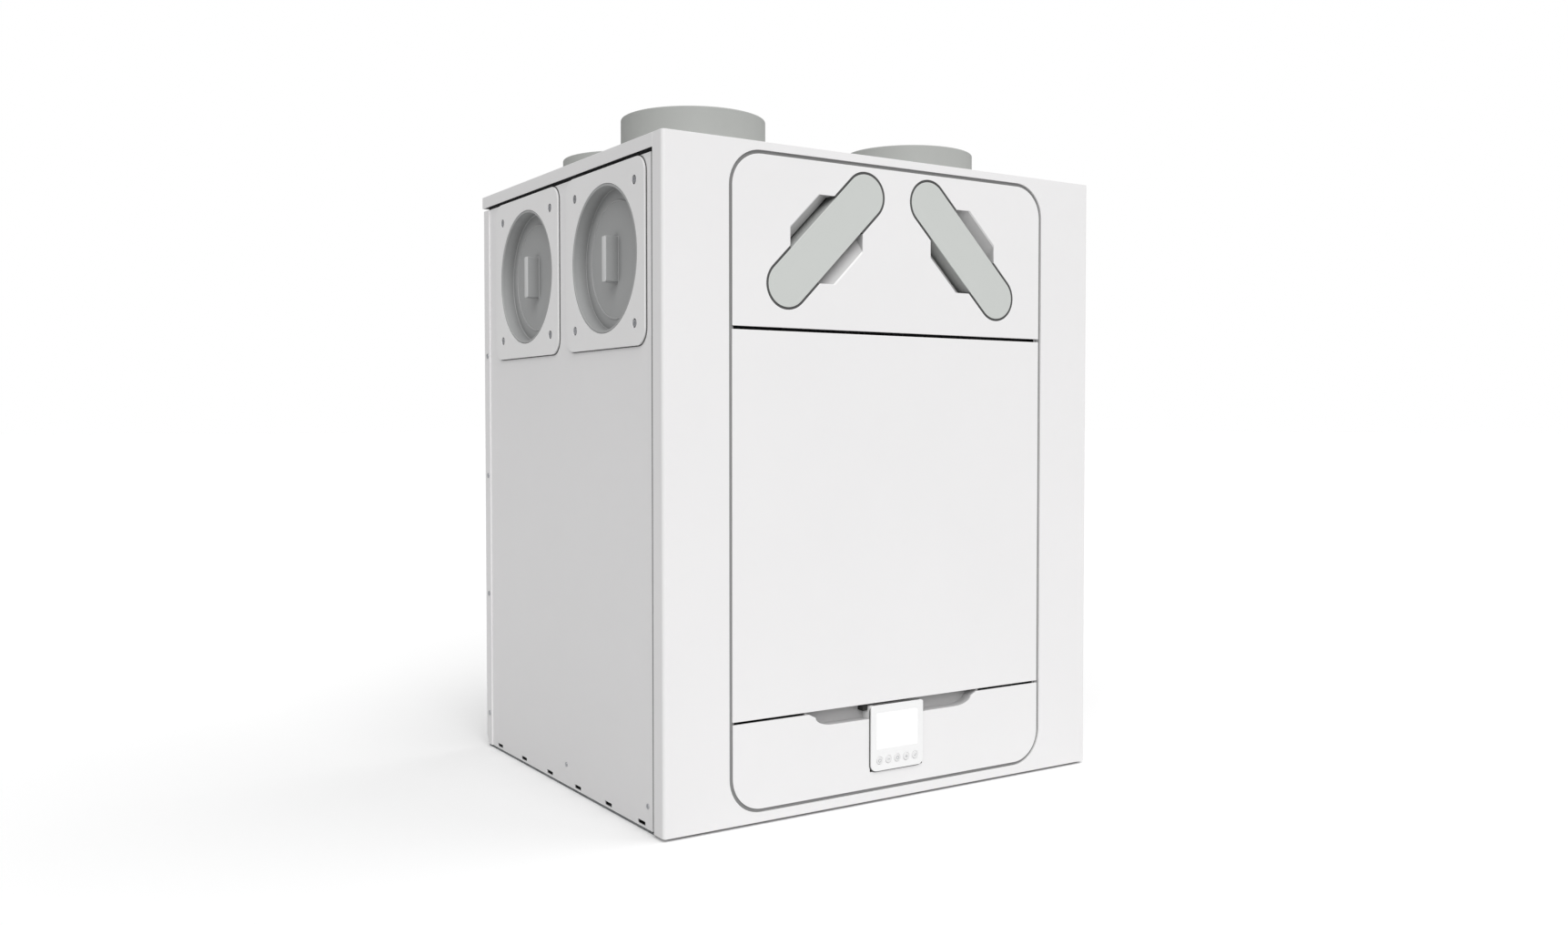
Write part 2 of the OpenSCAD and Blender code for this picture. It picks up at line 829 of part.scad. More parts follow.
module exchanger_strap() {
    half = 60;
    half_h = 12;
    sewn = 14;
    strap_y = core_y[0] - 4.5;
    color([0.1, 0.1, 0.1]) {
        block([-half, strap_y, core_z - half_h], [half, strap_y + 1.5, core_z + half_h]);
        for (x = [-half, half - sewn])
            block([x, strap_y + 1.4, core_z - half_h], [x + sewn, core_y[0], core_z + half_h]);
    }
}

// ---------- foam lining ----------

module foam_top() {
    low = foam_split + 1;
    inlet = [[-chamber_x, 590], [-chamber_x, chamber_top], [-52, chamber_top], [-238, 590]];
    outlet = [[-14, low - past], [-14, 756], [-156, 614], [-156, low - past]];
    color(foam_black) difference() {
        block([-foam_x, foam_front, low], [foam_x, foam_back, case_h - 3]);
        both_sides() {
            slab(foam_front - past, collar_back + 0.5) at_cover() stadium(opening_r + 2.5);
            at_filter() block([-filter_len / 2 - 2, collar_back, -filter_thick / 2 - 2],
                [filter_len / 2 + 2, divider[0], filter_thick / 2 + 2]);
            slab(foam_front + 20, divider[0] - 3) polygon(inlet);
            slab(foam_front + 20, divider[0] - 4) polygon(outlet);
            block([-chamber_x, divider[1], 600], [-14, half_d - 24, chamber_top]);
            block([-chamber_x, riser_y[0], low - past], [-20, riser_y[1] - 2, 601]);
            for (y = port_y) at_port(y) cylinder(r = duct_r + 3, h = 32);
            translate([side_face, 0, 0]) for (y = port_y) translate([0, y, port_z]) rotate([0, 90, 0])
                at_corners(port_screw_pitch) cylinder(r = 3, h = 12);
        }
        for (place = spigot_places) translate([place[0], place[1], chamber_top - past])
            cylinder(r = lid_hole_r, h = 40);
        for (place = gland_places) translate([place[0], place[1], chamber_top - 14]) cylinder(r = 16.5, h = 50);
    }
}

module foam_surround() {
    y0 = front_y + 28;
    y1 = core_y[1] + 2;
    web = core_y[1] - 8;
    low = 120;
    high = foam_split;
    lip_x = 228;
    upper = [[-14, high + past], [-14, 560], [-206, 452], [-295, 452], [-295, high + past]];
    lower = [[-14, low - past], [-14, 154], [-206, 262], [-295, 262], [-295, low - past]];
    channel = [flap_x[0] - 2, flap_x[1] + 2];
    color(foam_black) difference() {
        union() {
            slab(y0, y1) translate([-foam_x, low]) square([2 * foam_x, high - low]);
            slab(liner_back + 0.5, y0 + past) translate([-lip_x, 146]) square([2 * lip_x, 426]);
        }
        slab(front_y, y1 + past) core_shape(3);
        both_sides() {
            slab(y0 + past, web) {
                polygon(upper);
                polygon(lower);
            }
            translate([fan_x, web - past, fan_z]) rotate([-90, 0, 0]) cylinder(r = inlet_r + 4, h = 40);
        }
        block([channel[0], flap_y[0], 261], [channel[1], flap_y[1], 453]);
    }
}

module foam_rear() {
    low = 62;
    high = foam_split;
    color(foam_black) difference() {
        block([-foam_x, core_y[1] + 4, low], [foam_x, foam_back, high]);
        both_sides() {
            block([fan_x - 122, riser_y[0], 84], [-40, riser_y[1], high + past]);
            translate([fan_x, core_y[1], fan_z]) rotate([-90, 0, 0]) cylinder(r = inlet_r + 4, h = 40);
        }
    }
}

module foam_base() {
    low = 2.5;
    color(foam_black) difference() {
        union() {
            block([-foam_x, front_y + 80, low], [foam_x, core_y[1] + 2, 118]);
            block([-foam_x, core_y[1] + 1, low], [foam_x, foam_back, 60]);
        }
        block(tray_low - [2, 2, 1], tray_high + [2, 2, 3]);
        at_drain() cylinder(r = drain_r + 5, h = 60);
        both_sides() translate([2 * sheet, 0, 0]) side_screw_holes();
    }
}

// ---------- fans ----------

// A point of the scroll's spiral wall, the angle falls from the tongue round to the outlet
function spiral(angle, grow) = let(r = scroll_r + grow + scroll_growth * (135 - angle) / 315)
    [r * cos(angle), r * sin(angle)];

// The scroll's side view about the fan's axis, with its outlet pointing up on the outer side
module scroll_shape(grow) {
    outlet_x = -(scroll_r + scroll_growth + grow);
    outlet_z = 130 + grow;
    tongue = spiral(135, grow);
    polygon(concat([for (angle = [135:-15:-180]) spiral(angle, grow)],
        [[outlet_x, outlet_z], [tongue[0] + grow / 2, outlet_z]]));
}

module fan_scrolls() {
    outlet_w = 48;
    color([0.2, 0.2, 0.22]) both_sides() translate([fan_x, 0, fan_z]) difference() {
        slab(scroll_y[0], scroll_y[1]) scroll_shape(0);
        slab(scroll_y[0] + scroll_wall, scroll_y[1] - scroll_wall) {
            scroll_shape(-scroll_wall);
            translate([-(scroll_r + scroll_growth) + scroll_wall, 100]) square([outlet_w, 40]);
        }
        translate([0, scroll_y[0] - past, 0]) rotate([-90, 0, 0]) cylinder(r = inlet_r + 8, h = 10);
    }
}

module fan_inlet_rings() {
    color([0.3, 0.3, 0.32]) both_sides() translate([fan_x, core_y[1] + 4, fan_z]) rotate([-90, 0, 0])
        rotate_extrude() polygon([
            [inlet_r, 0],
            [inlet_r + 3.7, 0],
            [inlet_r + 3.7, 4],
            [inlet_r, 8],
            [inlet_r, 25],
            [inlet_r - 2, 25],
            [inlet_r - 2, 8]
        ]);
}

module impeller() {
    front = 114;
    back = 178;
    plate = 2;
    hub_r = 45;
    hub_front = 140;
    hub_wall = 3;
    blade_root = inlet_r + 1;
    blade_chord = 19;
    blade_thick = 1.6;
    blade_lean = 30;
    color([0.75, 0.75, 0.77]) translate([fan_x, 0, fan_z]) rotate([-90, 0, 0]) {
        translate([0, 0, front]) difference() {
            cylinder(r = impeller_r, h = plate);
            translate([0, 0, -past]) cylinder(r = blade_root + 1, h = plate + 2 * past);
        }
        translate([0, 0, back - plate]) difference() {
            cylinder(r = impeller_r, h = plate);
            translate([0, 0, -past]) cylinder(r = hub_r - plate, h = plate + 2 * past);
        }
        translate([0, 0, hub_front]) difference() {
            cylinder(r = hub_r, h = back - hub_front);
            translate([0, 0, hub_wall]) cylinder(r = hub_r - hub_wall, h = back);
        }
        for (i = [0:blades - 1]) rotate([0, 0, i * 360 / blades]) translate([blade_root + 10, -1, front + 1])
            rotate([0, 0, blade_lean]) translate([-8, 0, 0]) cube([blade_chord, blade_thick, back - front - plate]);
    }
}

module impeller_left() { impeller(); }
module impeller_right() { mirror([1, 0, 0]) impeller(); }

module fan_motors() {
    rotor_r = 37;
    rotor_y = [146, 176];
    flange_r = 30;
    flange_y = [175, scroll_y[1] - scroll_wall];
    color([0.3, 0.3, 0.3]) both_sides() translate([fan_x, 0, fan_z]) rotate([-90, 0, 0]) {
        translate([0, 0, rotor_y[0]]) cylinder(r = rotor_r, h = rotor_y[1] - rotor_y[0]);
        translate([0, 0, flange_y[0]]) cylinder(r = flange_r, h = flange_y[1] - flange_y[0]);
    }
}

// ---------- bypass ----------

module bypass_frame() {
    low = 452;
    rim = 12;
    color([0.25, 0.25, 0.27]) difference() {
        block([flap_x[0] - 20, flap_y[0] - rim, low], [bypass_outer_x, flap_y[1] + rim, flap_z - 1.5]);
        block([flap_x[0] + 4, flap_y[0] + 4, low - past], [flap_x[1] - 6, flap_y[1] - 4, flap_z]);
    }
}

module bypass_flap() {
    shaft_r = 2;
    color([0.6, 0.6, 0.62]) {
        block([flap_x[0], flap_y[0], flap_z - 1.2], [flap_x[1] - 1, flap_y[1], flap_z + 1.2]);
        translate([flap_x[1], flap_y[0], flap_z + 1]) rotate([-90, 0, 0])
            cylinder(r = shaft_r, h = flap_y[1] - flap_y[0] + 14);
    }
}

module bypass_actuator() {
    color([0.15, 0.15, 0.16]) difference() {
        block([flap_x[1] - 30, flap_y[1] + 12.5, 453], [bypass_outer_x, flap_y[1] + 36, 500]);
        translate([flap_x[1], flap_y[1], flap_z + 1]) rotate([-90, 0, 0]) cylinder(r = 2.4, h = 20);
    }
}

// ---------- condensate ----------

// Puts children under the drain's axis
module at_drain() {
    translate([-60, -120, 0]) children();
}

module condensate_tray() {
    wall = 2.5;
    color([0.3, 0.3, 0.32]) difference() {
        union() {
            difference() {
                block(tray_low, tray_high);
                block(tray_low + [wall, wall, wall], tray_high + [-wall, -wall, past]);
            }
            block([-wall / 2, tray_low[1] + 1, tray_low[2] + 2], [wall / 2, tray_high[1] - 1, tray_high[2]]);
        }
        at_drain() cylinder(r = drain_bore_r, h = 60);
    }
}

module drain_socket() {
    color([0.2, 0.2, 0.2]) at_drain() difference() {
        translate([0, 0, 0.2]) cylinder(r = drain_r + 4, h = tray_low[2] - 0.2);
        cylinder(r = drain_r, h = socket_depth);
        cylinder(r = drain_bore_r, h = 60);
    }
}

// ---------- electrical ----------

module control_box() {
    wall = 2.5;
    low = [-210, front_y + 26, 26];
    high = [210, front_y + 74, 98];
    color([0.2, 0.2, 0.22]) difference() {
        block(low, high);
        block([low[0] + wall, low[1] - past, low[2] + wall], [high[0] - wall, high[1] - wall, high[2] - wall]);
    }
}

// A block on the control board: its lower left corner in X and Z, its width and height, and its rise
module component(corner, size, rise) {
    block([corner[0], power_board_y - rise, corner[1]],
        [corner[0] + size[0], power_board_y + 0.1, corner[1] + size[1]]);
}

module control_board() {
    half = 190;
    edge_z = [34, 90];
    can_r = 9;
    can_h = 22;
    can_z = 62;
    color(board_green) {
        block([-half, power_board_y, edge_z[0]], [half, power_board_y + board_thick, edge_z[1]]);
        // Transformer
        component([-180, 40], [40, 44], 26);
        // Capacitors
        for (x = [-118, -96, -74]) translate([x, power_board_y - can_h, can_z])
            rotate([-90, 0, 0]) cylinder(r = can_r, h = can_h + 0.1);
        // Relays
        for (x = [-40, -14, 12]) component([x, 46], [18, 28], 16);
        // Terminal row
        component([60, 40], [116, 16], 12);
        // Processor
        component([70, 64], [26, 22], 3);
    }
}

module temperature_sensors() {
    probe_x = chamber_x - 20;
    head_r = 6;
    head_h = 6;
    probe_r = 3;
    probe_h = 40;
    color([0.8, 0.8, 0.8]) for (x = [-probe_x, probe_x], y = [divider[0] - 18, divider[1] + 22]) {
        translate([x, y, chamber_top - head_h]) cylinder(r = head_r, h = head_h);
        translate([x, y, chamber_top - probe_h]) cylinder(r = probe_r, h = probe_h - 4);
    }
}

front_frame();
front_seal();
upper_front_panel();
service_panel();
service_panel_liner();
lower_front_panel();
left_side_panel();
right_side_panel();
rear_panel();
top_panel();
base_tray();
wall_bracket();
rear_buffers();
casing_screws();
side_port_plates();
cap_left_front();
cap_left_rear();
cap_right_front();
cap_right_rear();
spigot_left_front();
spigot_left_rear();
spigot_right_front();
spigot_right_rear();
filter_cover_left();
filter_cover_right();
cover_seal_left();
cover_seal_right();
filter_frame_left();
filter_frame_right();
filter_media_left();
filter_media_right();
display_housing();
display_screen();
display_board();
key_1();
key_2();
key_3();
key_4();
key_5();
exchanger_plates();
exchanger_frame();
exchanger_strap();
foam_top();
foam_surround();
foam_rear();
foam_base();
fan_scrolls();
fan_inlet_rings();
fan_motors();
impeller_left();
impeller_right();
bypass_frame();
bypass_flap();
bypass_actuator();
condensate_tray();
drain_socket();
control_box();
control_board();
temperature_sensors();
cable_glands();
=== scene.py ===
import math

import bmesh
import bpy
from mathutils import Matrix, Vector


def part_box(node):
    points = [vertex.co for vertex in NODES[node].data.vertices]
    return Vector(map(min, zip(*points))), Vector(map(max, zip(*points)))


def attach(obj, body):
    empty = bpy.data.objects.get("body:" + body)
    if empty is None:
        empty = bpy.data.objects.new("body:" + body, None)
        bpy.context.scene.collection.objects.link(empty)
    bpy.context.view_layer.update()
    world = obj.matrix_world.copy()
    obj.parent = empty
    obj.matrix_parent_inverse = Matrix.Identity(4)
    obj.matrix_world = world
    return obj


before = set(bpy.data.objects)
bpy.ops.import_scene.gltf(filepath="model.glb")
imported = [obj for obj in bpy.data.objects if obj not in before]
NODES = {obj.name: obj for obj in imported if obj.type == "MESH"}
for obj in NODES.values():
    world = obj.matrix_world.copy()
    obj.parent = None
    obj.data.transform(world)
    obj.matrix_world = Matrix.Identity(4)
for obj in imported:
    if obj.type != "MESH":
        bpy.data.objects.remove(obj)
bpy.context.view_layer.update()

MM = 0.001
SIDES = (("left", -1.0), ("right", 1.0))
CORNERS = ("left_front", "left_rear", "right_front", "right_rear")
CAP_NAMES = [f"cap_{corner}" for corner in CORNERS]
SPIGOT_NAMES = [f"spigot_{corner}" for corner in CORNERS]
KEY_NAMES = [f"key_{number}" for number in range(1, 6)]
COVER_NAMES = ["filter_cover_left", "filter_cover_right"]

# ---------- camera, floor and light ----------

CAMERA_PLACE = (-1.0370, -1.6117, 0.4726)
CAMERA_TILT = math.radians(88.3365)
CAMERA_TURN = math.radians(-33.071)
CAMERA_LENS = 30.92
CAMERA_SENSOR = 36.0
CAMERA_CLIP = (0.01, 200.0)
LIGHT = {"ambient": 0.34, "backdrop": 1.0, "shown_floor": 0.97, "bounce_floor": 0.60}
SUN_SPREAD = math.radians(60.0)
SUN_AWAY = 3.0
SUNS = (
    ("key_light", 2.15, (-0.30, -0.62, 0.70)),
    ("side_light", 1.0, (0.75, -0.25, 1.0)),
)
FLOOR_HALF = 60.0


def add_camera():
    data = bpy.data.cameras.new("camera")
    data.sensor_width = CAMERA_SENSOR
    data.lens = CAMERA_LENS
    data.clip_start, data.clip_end = CAMERA_CLIP
    camera = bpy.data.objects.new("camera", data)
    camera.location = CAMERA_PLACE
    camera.rotation_euler = (CAMERA_TILT, 0.0, CAMERA_TURN)
    bpy.context.scene.collection.objects.link(camera)
    bpy.context.scene.camera = camera


def shown_and_lit(tree, output):
    """A mix whose first shader lights the object and whose second is what the camera sees."""
    out = tree.nodes.new(output)
    mix = tree.nodes.new("ShaderNodeMixShader")
    ray = tree.nodes.new("ShaderNodeLightPath")
    tree.links.new(ray.outputs["Is Camera Ray"], mix.inputs["Fac"])
    tree.links.new(mix.outputs["Shader"], out.inputs["Surface"])
    return mix


def add_world(ambient, backdrop):
    """A white backdrop that lights the object less strongly than it shows."""
    world = bpy.data.worlds.new("studio")
    world.use_nodes = True
    tree = world.node_tree
    tree.nodes.clear()
    mix = shown_and_lit(tree, "ShaderNodeOutputWorld")
    for place, strength in ((1, ambient), (2, backdrop)):
        light = tree.nodes.new("ShaderNodeBackground")
        light.inputs["Color"].default_value = (1.0, 1.0, 1.0, 1.0)
        light.inputs["Strength"].default_value = strength
        tree.links.new(light.outputs["Background"], mix.inputs[place])
    bpy.context.scene.world = world


def add_sun(name, strength, towards):
    """A soft sun that stands in the given direction, seen from the object."""
    data = bpy.data.lights.new(name, "SUN")
    data.energy = strength
    data.angle = SUN_SPREAD
    lamp = bpy.data.objects.new(name, data)
    lamp.rotation_mode = "QUATERNION"
    lamp.rotation_quaternion = Vector(towards).to_track_quat("Z", "Y")
    lamp.location = Vector(towards).normalized() * SUN_AWAY
    bpy.context.scene.collection.objects.link(lamp)


def add_floor(shown_tone, bounce_tone):
    """A pale floor whose bounced light is held back, so that shadows keep their depth."""
    half = FLOOR_HALF
    mesh = bpy.data.meshes.new("floor")
    mesh.from_pydata([(-half, -half, 0), (half, -half, 0), (half, half, 0), (-half, half, 0)],
        [], [(0, 1, 2, 3)])
    floor = bpy.data.objects.new("floor", mesh)
    material = bpy.data.materials.new("floor_paint")
    material.use_nodes = True
    tree = material.node_tree
    tree.nodes.clear()
    mix = shown_and_lit(tree, "ShaderNodeOutputMaterial")
    for place, tone in ((1, bounce_tone), (2, shown_tone)):
        matt = tree.nodes.new("ShaderNodeBsdfDiffuse")
        matt.inputs["Color"].default_value = (tone, tone, tone, 1.0)
        tree.links.new(matt.outputs["BSDF"], mix.inputs[place])
    floor.data.materials.append(material)
    bpy.context.scene.collection.objects.link(floor)


# ---------- materials, with lengths in metres ----------

GLOSS_SPREAD = (0.82, 1.18)
SCUFF_SCALE = 38.0
SCUFF_TONE = 0.80
# EDGE_REACH and EDGE_SAMPLES set the painted highlight along sharp edges.
EDGE_REACH = 0.0012
EDGE_SAMPLES = 6
# HOLLOW_SAMPLES and HOLLOW_TONE set the painted shade in corners and hollows.
HOLLOW_SAMPLES = 8
HOLLOW_TONE = 0.35
SKIN_BLEND = 0.0004
BEAD_SCALE = 260.0
SPANGLE_SCALE = 120.0
BRUSH_SCALE = 900.0
BLACK, BRIGHT = (0, 0, 0), (1.0, 1.0, 1.0)


def new_material(name):
    """A material with its tree, its shader and the object's own coordinates."""
    material = bpy.data.materials.new(name)
    material.use_nodes = True
    tree = material.node_tree
    coords = tree.nodes.new("ShaderNodeTexCoord").outputs["Object"]
    return material, tree, tree.nodes["Principled BSDF"], coords


def link_noise(tree, coords, scale, detail, roughness):
    node = tree.nodes.new("ShaderNodeTexNoise")
    node.inputs["Scale"].default_value = scale
    node.inputs["Detail"].default_value = detail
    node.inputs["Roughness"].default_value = roughness
    tree.links.new(coords, node.inputs["Vector"])
    return node.outputs["Fac"]


def link_ramp(tree, value, stops):
    """A colour ramp of (position, colour) stops driven by a value."""
    node = tree.nodes.new("ShaderNodeValToRGB")
    elements = node.color_ramp.elements
    while len(elements) < len(stops):
        elements.new(0.5)
    for element, (position, colour) in zip(elements, stops):
        element.position = position
        element.color = (*colour, 1.0)
    tree.links.new(value, node.inputs["Fac"])
    return node.outputs["Color"]


def link_span(tree, value, low, high):
    """Maps a value from 0..1 to low..high."""
    node = tree.nodes.new("ShaderNodeMapRange")
    node.inputs["To Min"].default_value = low
    node.inputs["To Max"].default_value = high
    tree.links.new(value, node.inputs["Value"])
    return node.outputs["Result"]


def link_mix(tree, factor, first, second):
    """Mixes two colours, each a socket or a plain colour."""
    node = tree.nodes.new("ShaderNodeMix")
    node.data_type = "RGBA"
    tree.links.new(factor, node.inputs[0])
    for socket, colour in ((node.inputs[6], first), (node.inputs[7], second)):
        if isinstance(colour, tuple):
            socket.default_value = (*colour, 1.0)
        else:
            tree.links.new(colour, socket)
    return node.outputs[2]


def link_bump(tree, shader, height, strength, distance, invert=False):
    node = tree.nodes.new("ShaderNodeBump")
    node.invert = invert
    node.inputs["Strength"].default_value = strength
    node.inputs["Distance"].default_value = distance
    tree.links.new(height, node.inputs["Height"])
    tree.links.new(node.outputs["Normal"], shader.inputs["Normal"])


def link_edges(tree, radius, low, high):
    """A mask that is 1 where the surface turns sharply within the radius."""
    bevel = tree.nodes.new("ShaderNodeBevel")
    bevel.samples = EDGE_SAMPLES
    bevel.inputs["Radius"].default_value = radius
    flat = tree.nodes.new("ShaderNodeNewGeometry")
    dot = tree.nodes.new("ShaderNodeVectorMath")
    dot.operation = "DOT_PRODUCT"
    tree.links.new(bevel.outputs["Normal"], dot.inputs[0])
    tree.links.new(flat.outputs["True Normal"], dot.inputs[1])
    node = tree.nodes.new("ShaderNodeMapRange")
    node.inputs["From Min"].default_value = high
    node.inputs["From Max"].default_value = low
    tree.links.new(dot.outputs["Value"], node.inputs["Value"])
    return node.outputs["Result"]


def link_corners(tree, reach):
    """A mask that is 1 in open places and falls towards 0 in corners and hollows."""
    node = tree.nodes.new("ShaderNodeAmbientOcclusion")
    node.samples = HOLLOW_SAMPLES
    node.inputs["Distance"].default_value = reach
    return node.outputs["AO"]


def shade(colour, factor):
    return tuple(min(1.0, c * factor) for c in colour)


def surface(name, colour, roughness, grain, bump, vary=0.04, metallic=0.0, coat=0.0, mottle=6.0,
        edge=None, scuff=0.0, hollow=0.0):
    """Paint or plastic: fine grain, colour drift, uneven gloss, scuff marks, a painted highlight along sharp
    edges and painted shade in hollows.
    """
    material, tree, shader, coords = new_material(name)
    broad = link_noise(tree, coords, mottle, 4.0, 0.6)
    base = link_ramp(tree, broad, [(0.3, shade(colour, 1.0 - vary)), (0.7, shade(colour, 1.0 + vary))])
    if scuff:
        dust = link_noise(tree, coords, SCUFF_SCALE, 6.0, 0.7)
        marks = link_span(tree, link_ramp(tree, dust, [(0.60, BLACK), (0.74, BRIGHT)]), 0.0, scuff)
        base = link_mix(tree, marks, base, shade(colour, SCUFF_TONE))
    # A lighter colour mixed in along sharp edges: a painted highlight.
    if edge:
        base = link_mix(tree, link_edges(tree, EDGE_REACH, 0.80, 0.985), base, edge)
    # A darker colour mixed in where the occlusion mask falls: painted shade in corners and hollows.
    if hollow:
        corners = link_ramp(tree, link_corners(tree, hollow), [(0.15, BLACK), (0.85, BRIGHT)])
        base = link_mix(tree, corners, shade(colour, HOLLOW_TONE), base)
    tree.links.new(base, shader.inputs["Base Color"])
    smear = link_noise(tree, coords, mottle * 5.0, 3.0, 0.6)
    low, high = (min(1.0, roughness * spread) for spread in GLOSS_SPREAD)
    tree.links.new(link_span(tree, smear, low, high), shader.inputs["Roughness"])
    shader.inputs["Metallic"].default_value = metallic
    shader.inputs["Coat Weight"].default_value = coat
    fine = link_noise(tree, coords, 1.0 / grain, 2.0, 0.5)
    link_bump(tree, shader, fine, bump, grain * 0.4)
    return material


def bead_foam():
    """Expanded foam: packed beads a few millimetres across."""
    material, tree, shader, coords = new_material("bead_foam")
    beads = tree.nodes.new("ShaderNodeTexVoronoi")
    beads.inputs["Scale"].default_value = BEAD_SCALE
    tree.links.new(coords, beads.inputs["Vector"])
    distance = beads.outputs["Distance"]
    tree.links.new(link_ramp(tree, distance, [(0.0, (0.075, 0.075, 0.08)), (0.7, (0.03, 0.03, 0.033))]),
        shader.inputs["Base Color"])
    tree.links.new(link_span(tree, distance, 0.75, 0.95), shader.inputs["Roughness"])
    link_bump(tree, shader, distance, 0.6, 0.001, invert=True)
    return material


def brushed(name, colour, roughness, stretch):
    """Metal sheet with pale spangles and with fine lines along the axis that is stretched."""
    material, tree, shader, coords = new_material(name)
    mapping = tree.nodes.new("ShaderNodeMapping")
    mapping.inputs["Scale"].default_value = stretch
    tree.links.new(coords, mapping.inputs["Vector"])
    lines = link_noise(tree, mapping.outputs["Vector"], BRUSH_SCALE, 4.0, 0.6)
    spangle = tree.nodes.new("ShaderNodeTexVoronoi")
    spangle.inputs["Scale"].default_value = SPANGLE_SCALE
    tree.links.new(coords, spangle.inputs["Vector"])
    tone = link_ramp(tree, spangle.outputs["Color"], [(0.2, shade(colour, 0.86)), (0.8, shade(colour, 1.12))])
    tree.links.new(tone, shader.inputs["Base Color"])
    tree.links.new(link_span(tree, lines, roughness * 0.7, roughness * 1.4), shader.inputs["Roughness"])
    shader.inputs["Metallic"].default_value = 1.0
    link_bump(tree, shader, lines, 0.25, 0.0003)
    return material


def woven(name, colour, thread):
    """Webbing: two crossing wave patterns a thread apart."""
    material, tree, shader, coords = new_material(name)
    heights = []
    for direction in ("X", "Z"):
        wave = tree.nodes.new("ShaderNodeTexWave")
        wave.bands_direction = direction
        wave.inputs["Scale"].default_value = 1.0 / thread / 3.2
        wave.inputs["Distortion"].default_value = 0.6
        tree.links.new(coords, wave.inputs["Vector"])
        heights.append(wave.outputs["Fac"])
    both = tree.nodes.new("ShaderNodeMath")
    both.operation = "MULTIPLY"
    tree.links.new(heights[0], both.inputs[0])
    tree.links.new(heights[1], both.inputs[1])
    tree.links.new(link_ramp(tree, both.outputs[0], [(0.0, shade(colour, 0.5)), (1.0, shade(colour, 1.8))]),
        shader.inputs["Base Color"])
    shader.inputs["Roughness"].default_value = 0.85
    shader.inputs["Sheen Weight"].default_value = 0.3
    link_bump(tree, shader, both.outputs[0], 0.8, 0.0004)
    return material


def painted_shade_behind_face(name, face, side, face_depth, roughness, grain):
    """A moulding whose front skin has one colour and whose body behind it a darker one, painted shade in its
    recesses and on its side walls.
    """
    material = surface(name, face, roughness, grain, 0.2, 0.008, edge=shade(face, 1.22), hollow=0.012)
    tree = material.node_tree
    shader = tree.nodes["Principled BSDF"]
    coords = tree.nodes.new("ShaderNodeTexCoord").outputs["Object"]
    split = tree.nodes.new("ShaderNodeSeparateXYZ")
    tree.links.new(coords, split.inputs["Vector"])
    deep = tree.nodes.new("ShaderNodeMapRange")
    deep.inputs["From Min"].default_value = face_depth
    deep.inputs["From Max"].default_value = face_depth + SKIN_BLEND
    tree.links.new(split.outputs["Y"], deep.inputs["Value"])
    skin = shader.inputs["Base Color"].links[0].from_socket
    # The side colour behind the front skin is painted shade.
    tree.links.new(link_mix(tree, deep.outputs["Result"], skin, side), shader.inputs["Base Color"])
    return material


WHITE = (0.86, 0.853, 0.856)
COVER_GREY = (0.60, 0.62, 0.60)
MATERIALS = {}


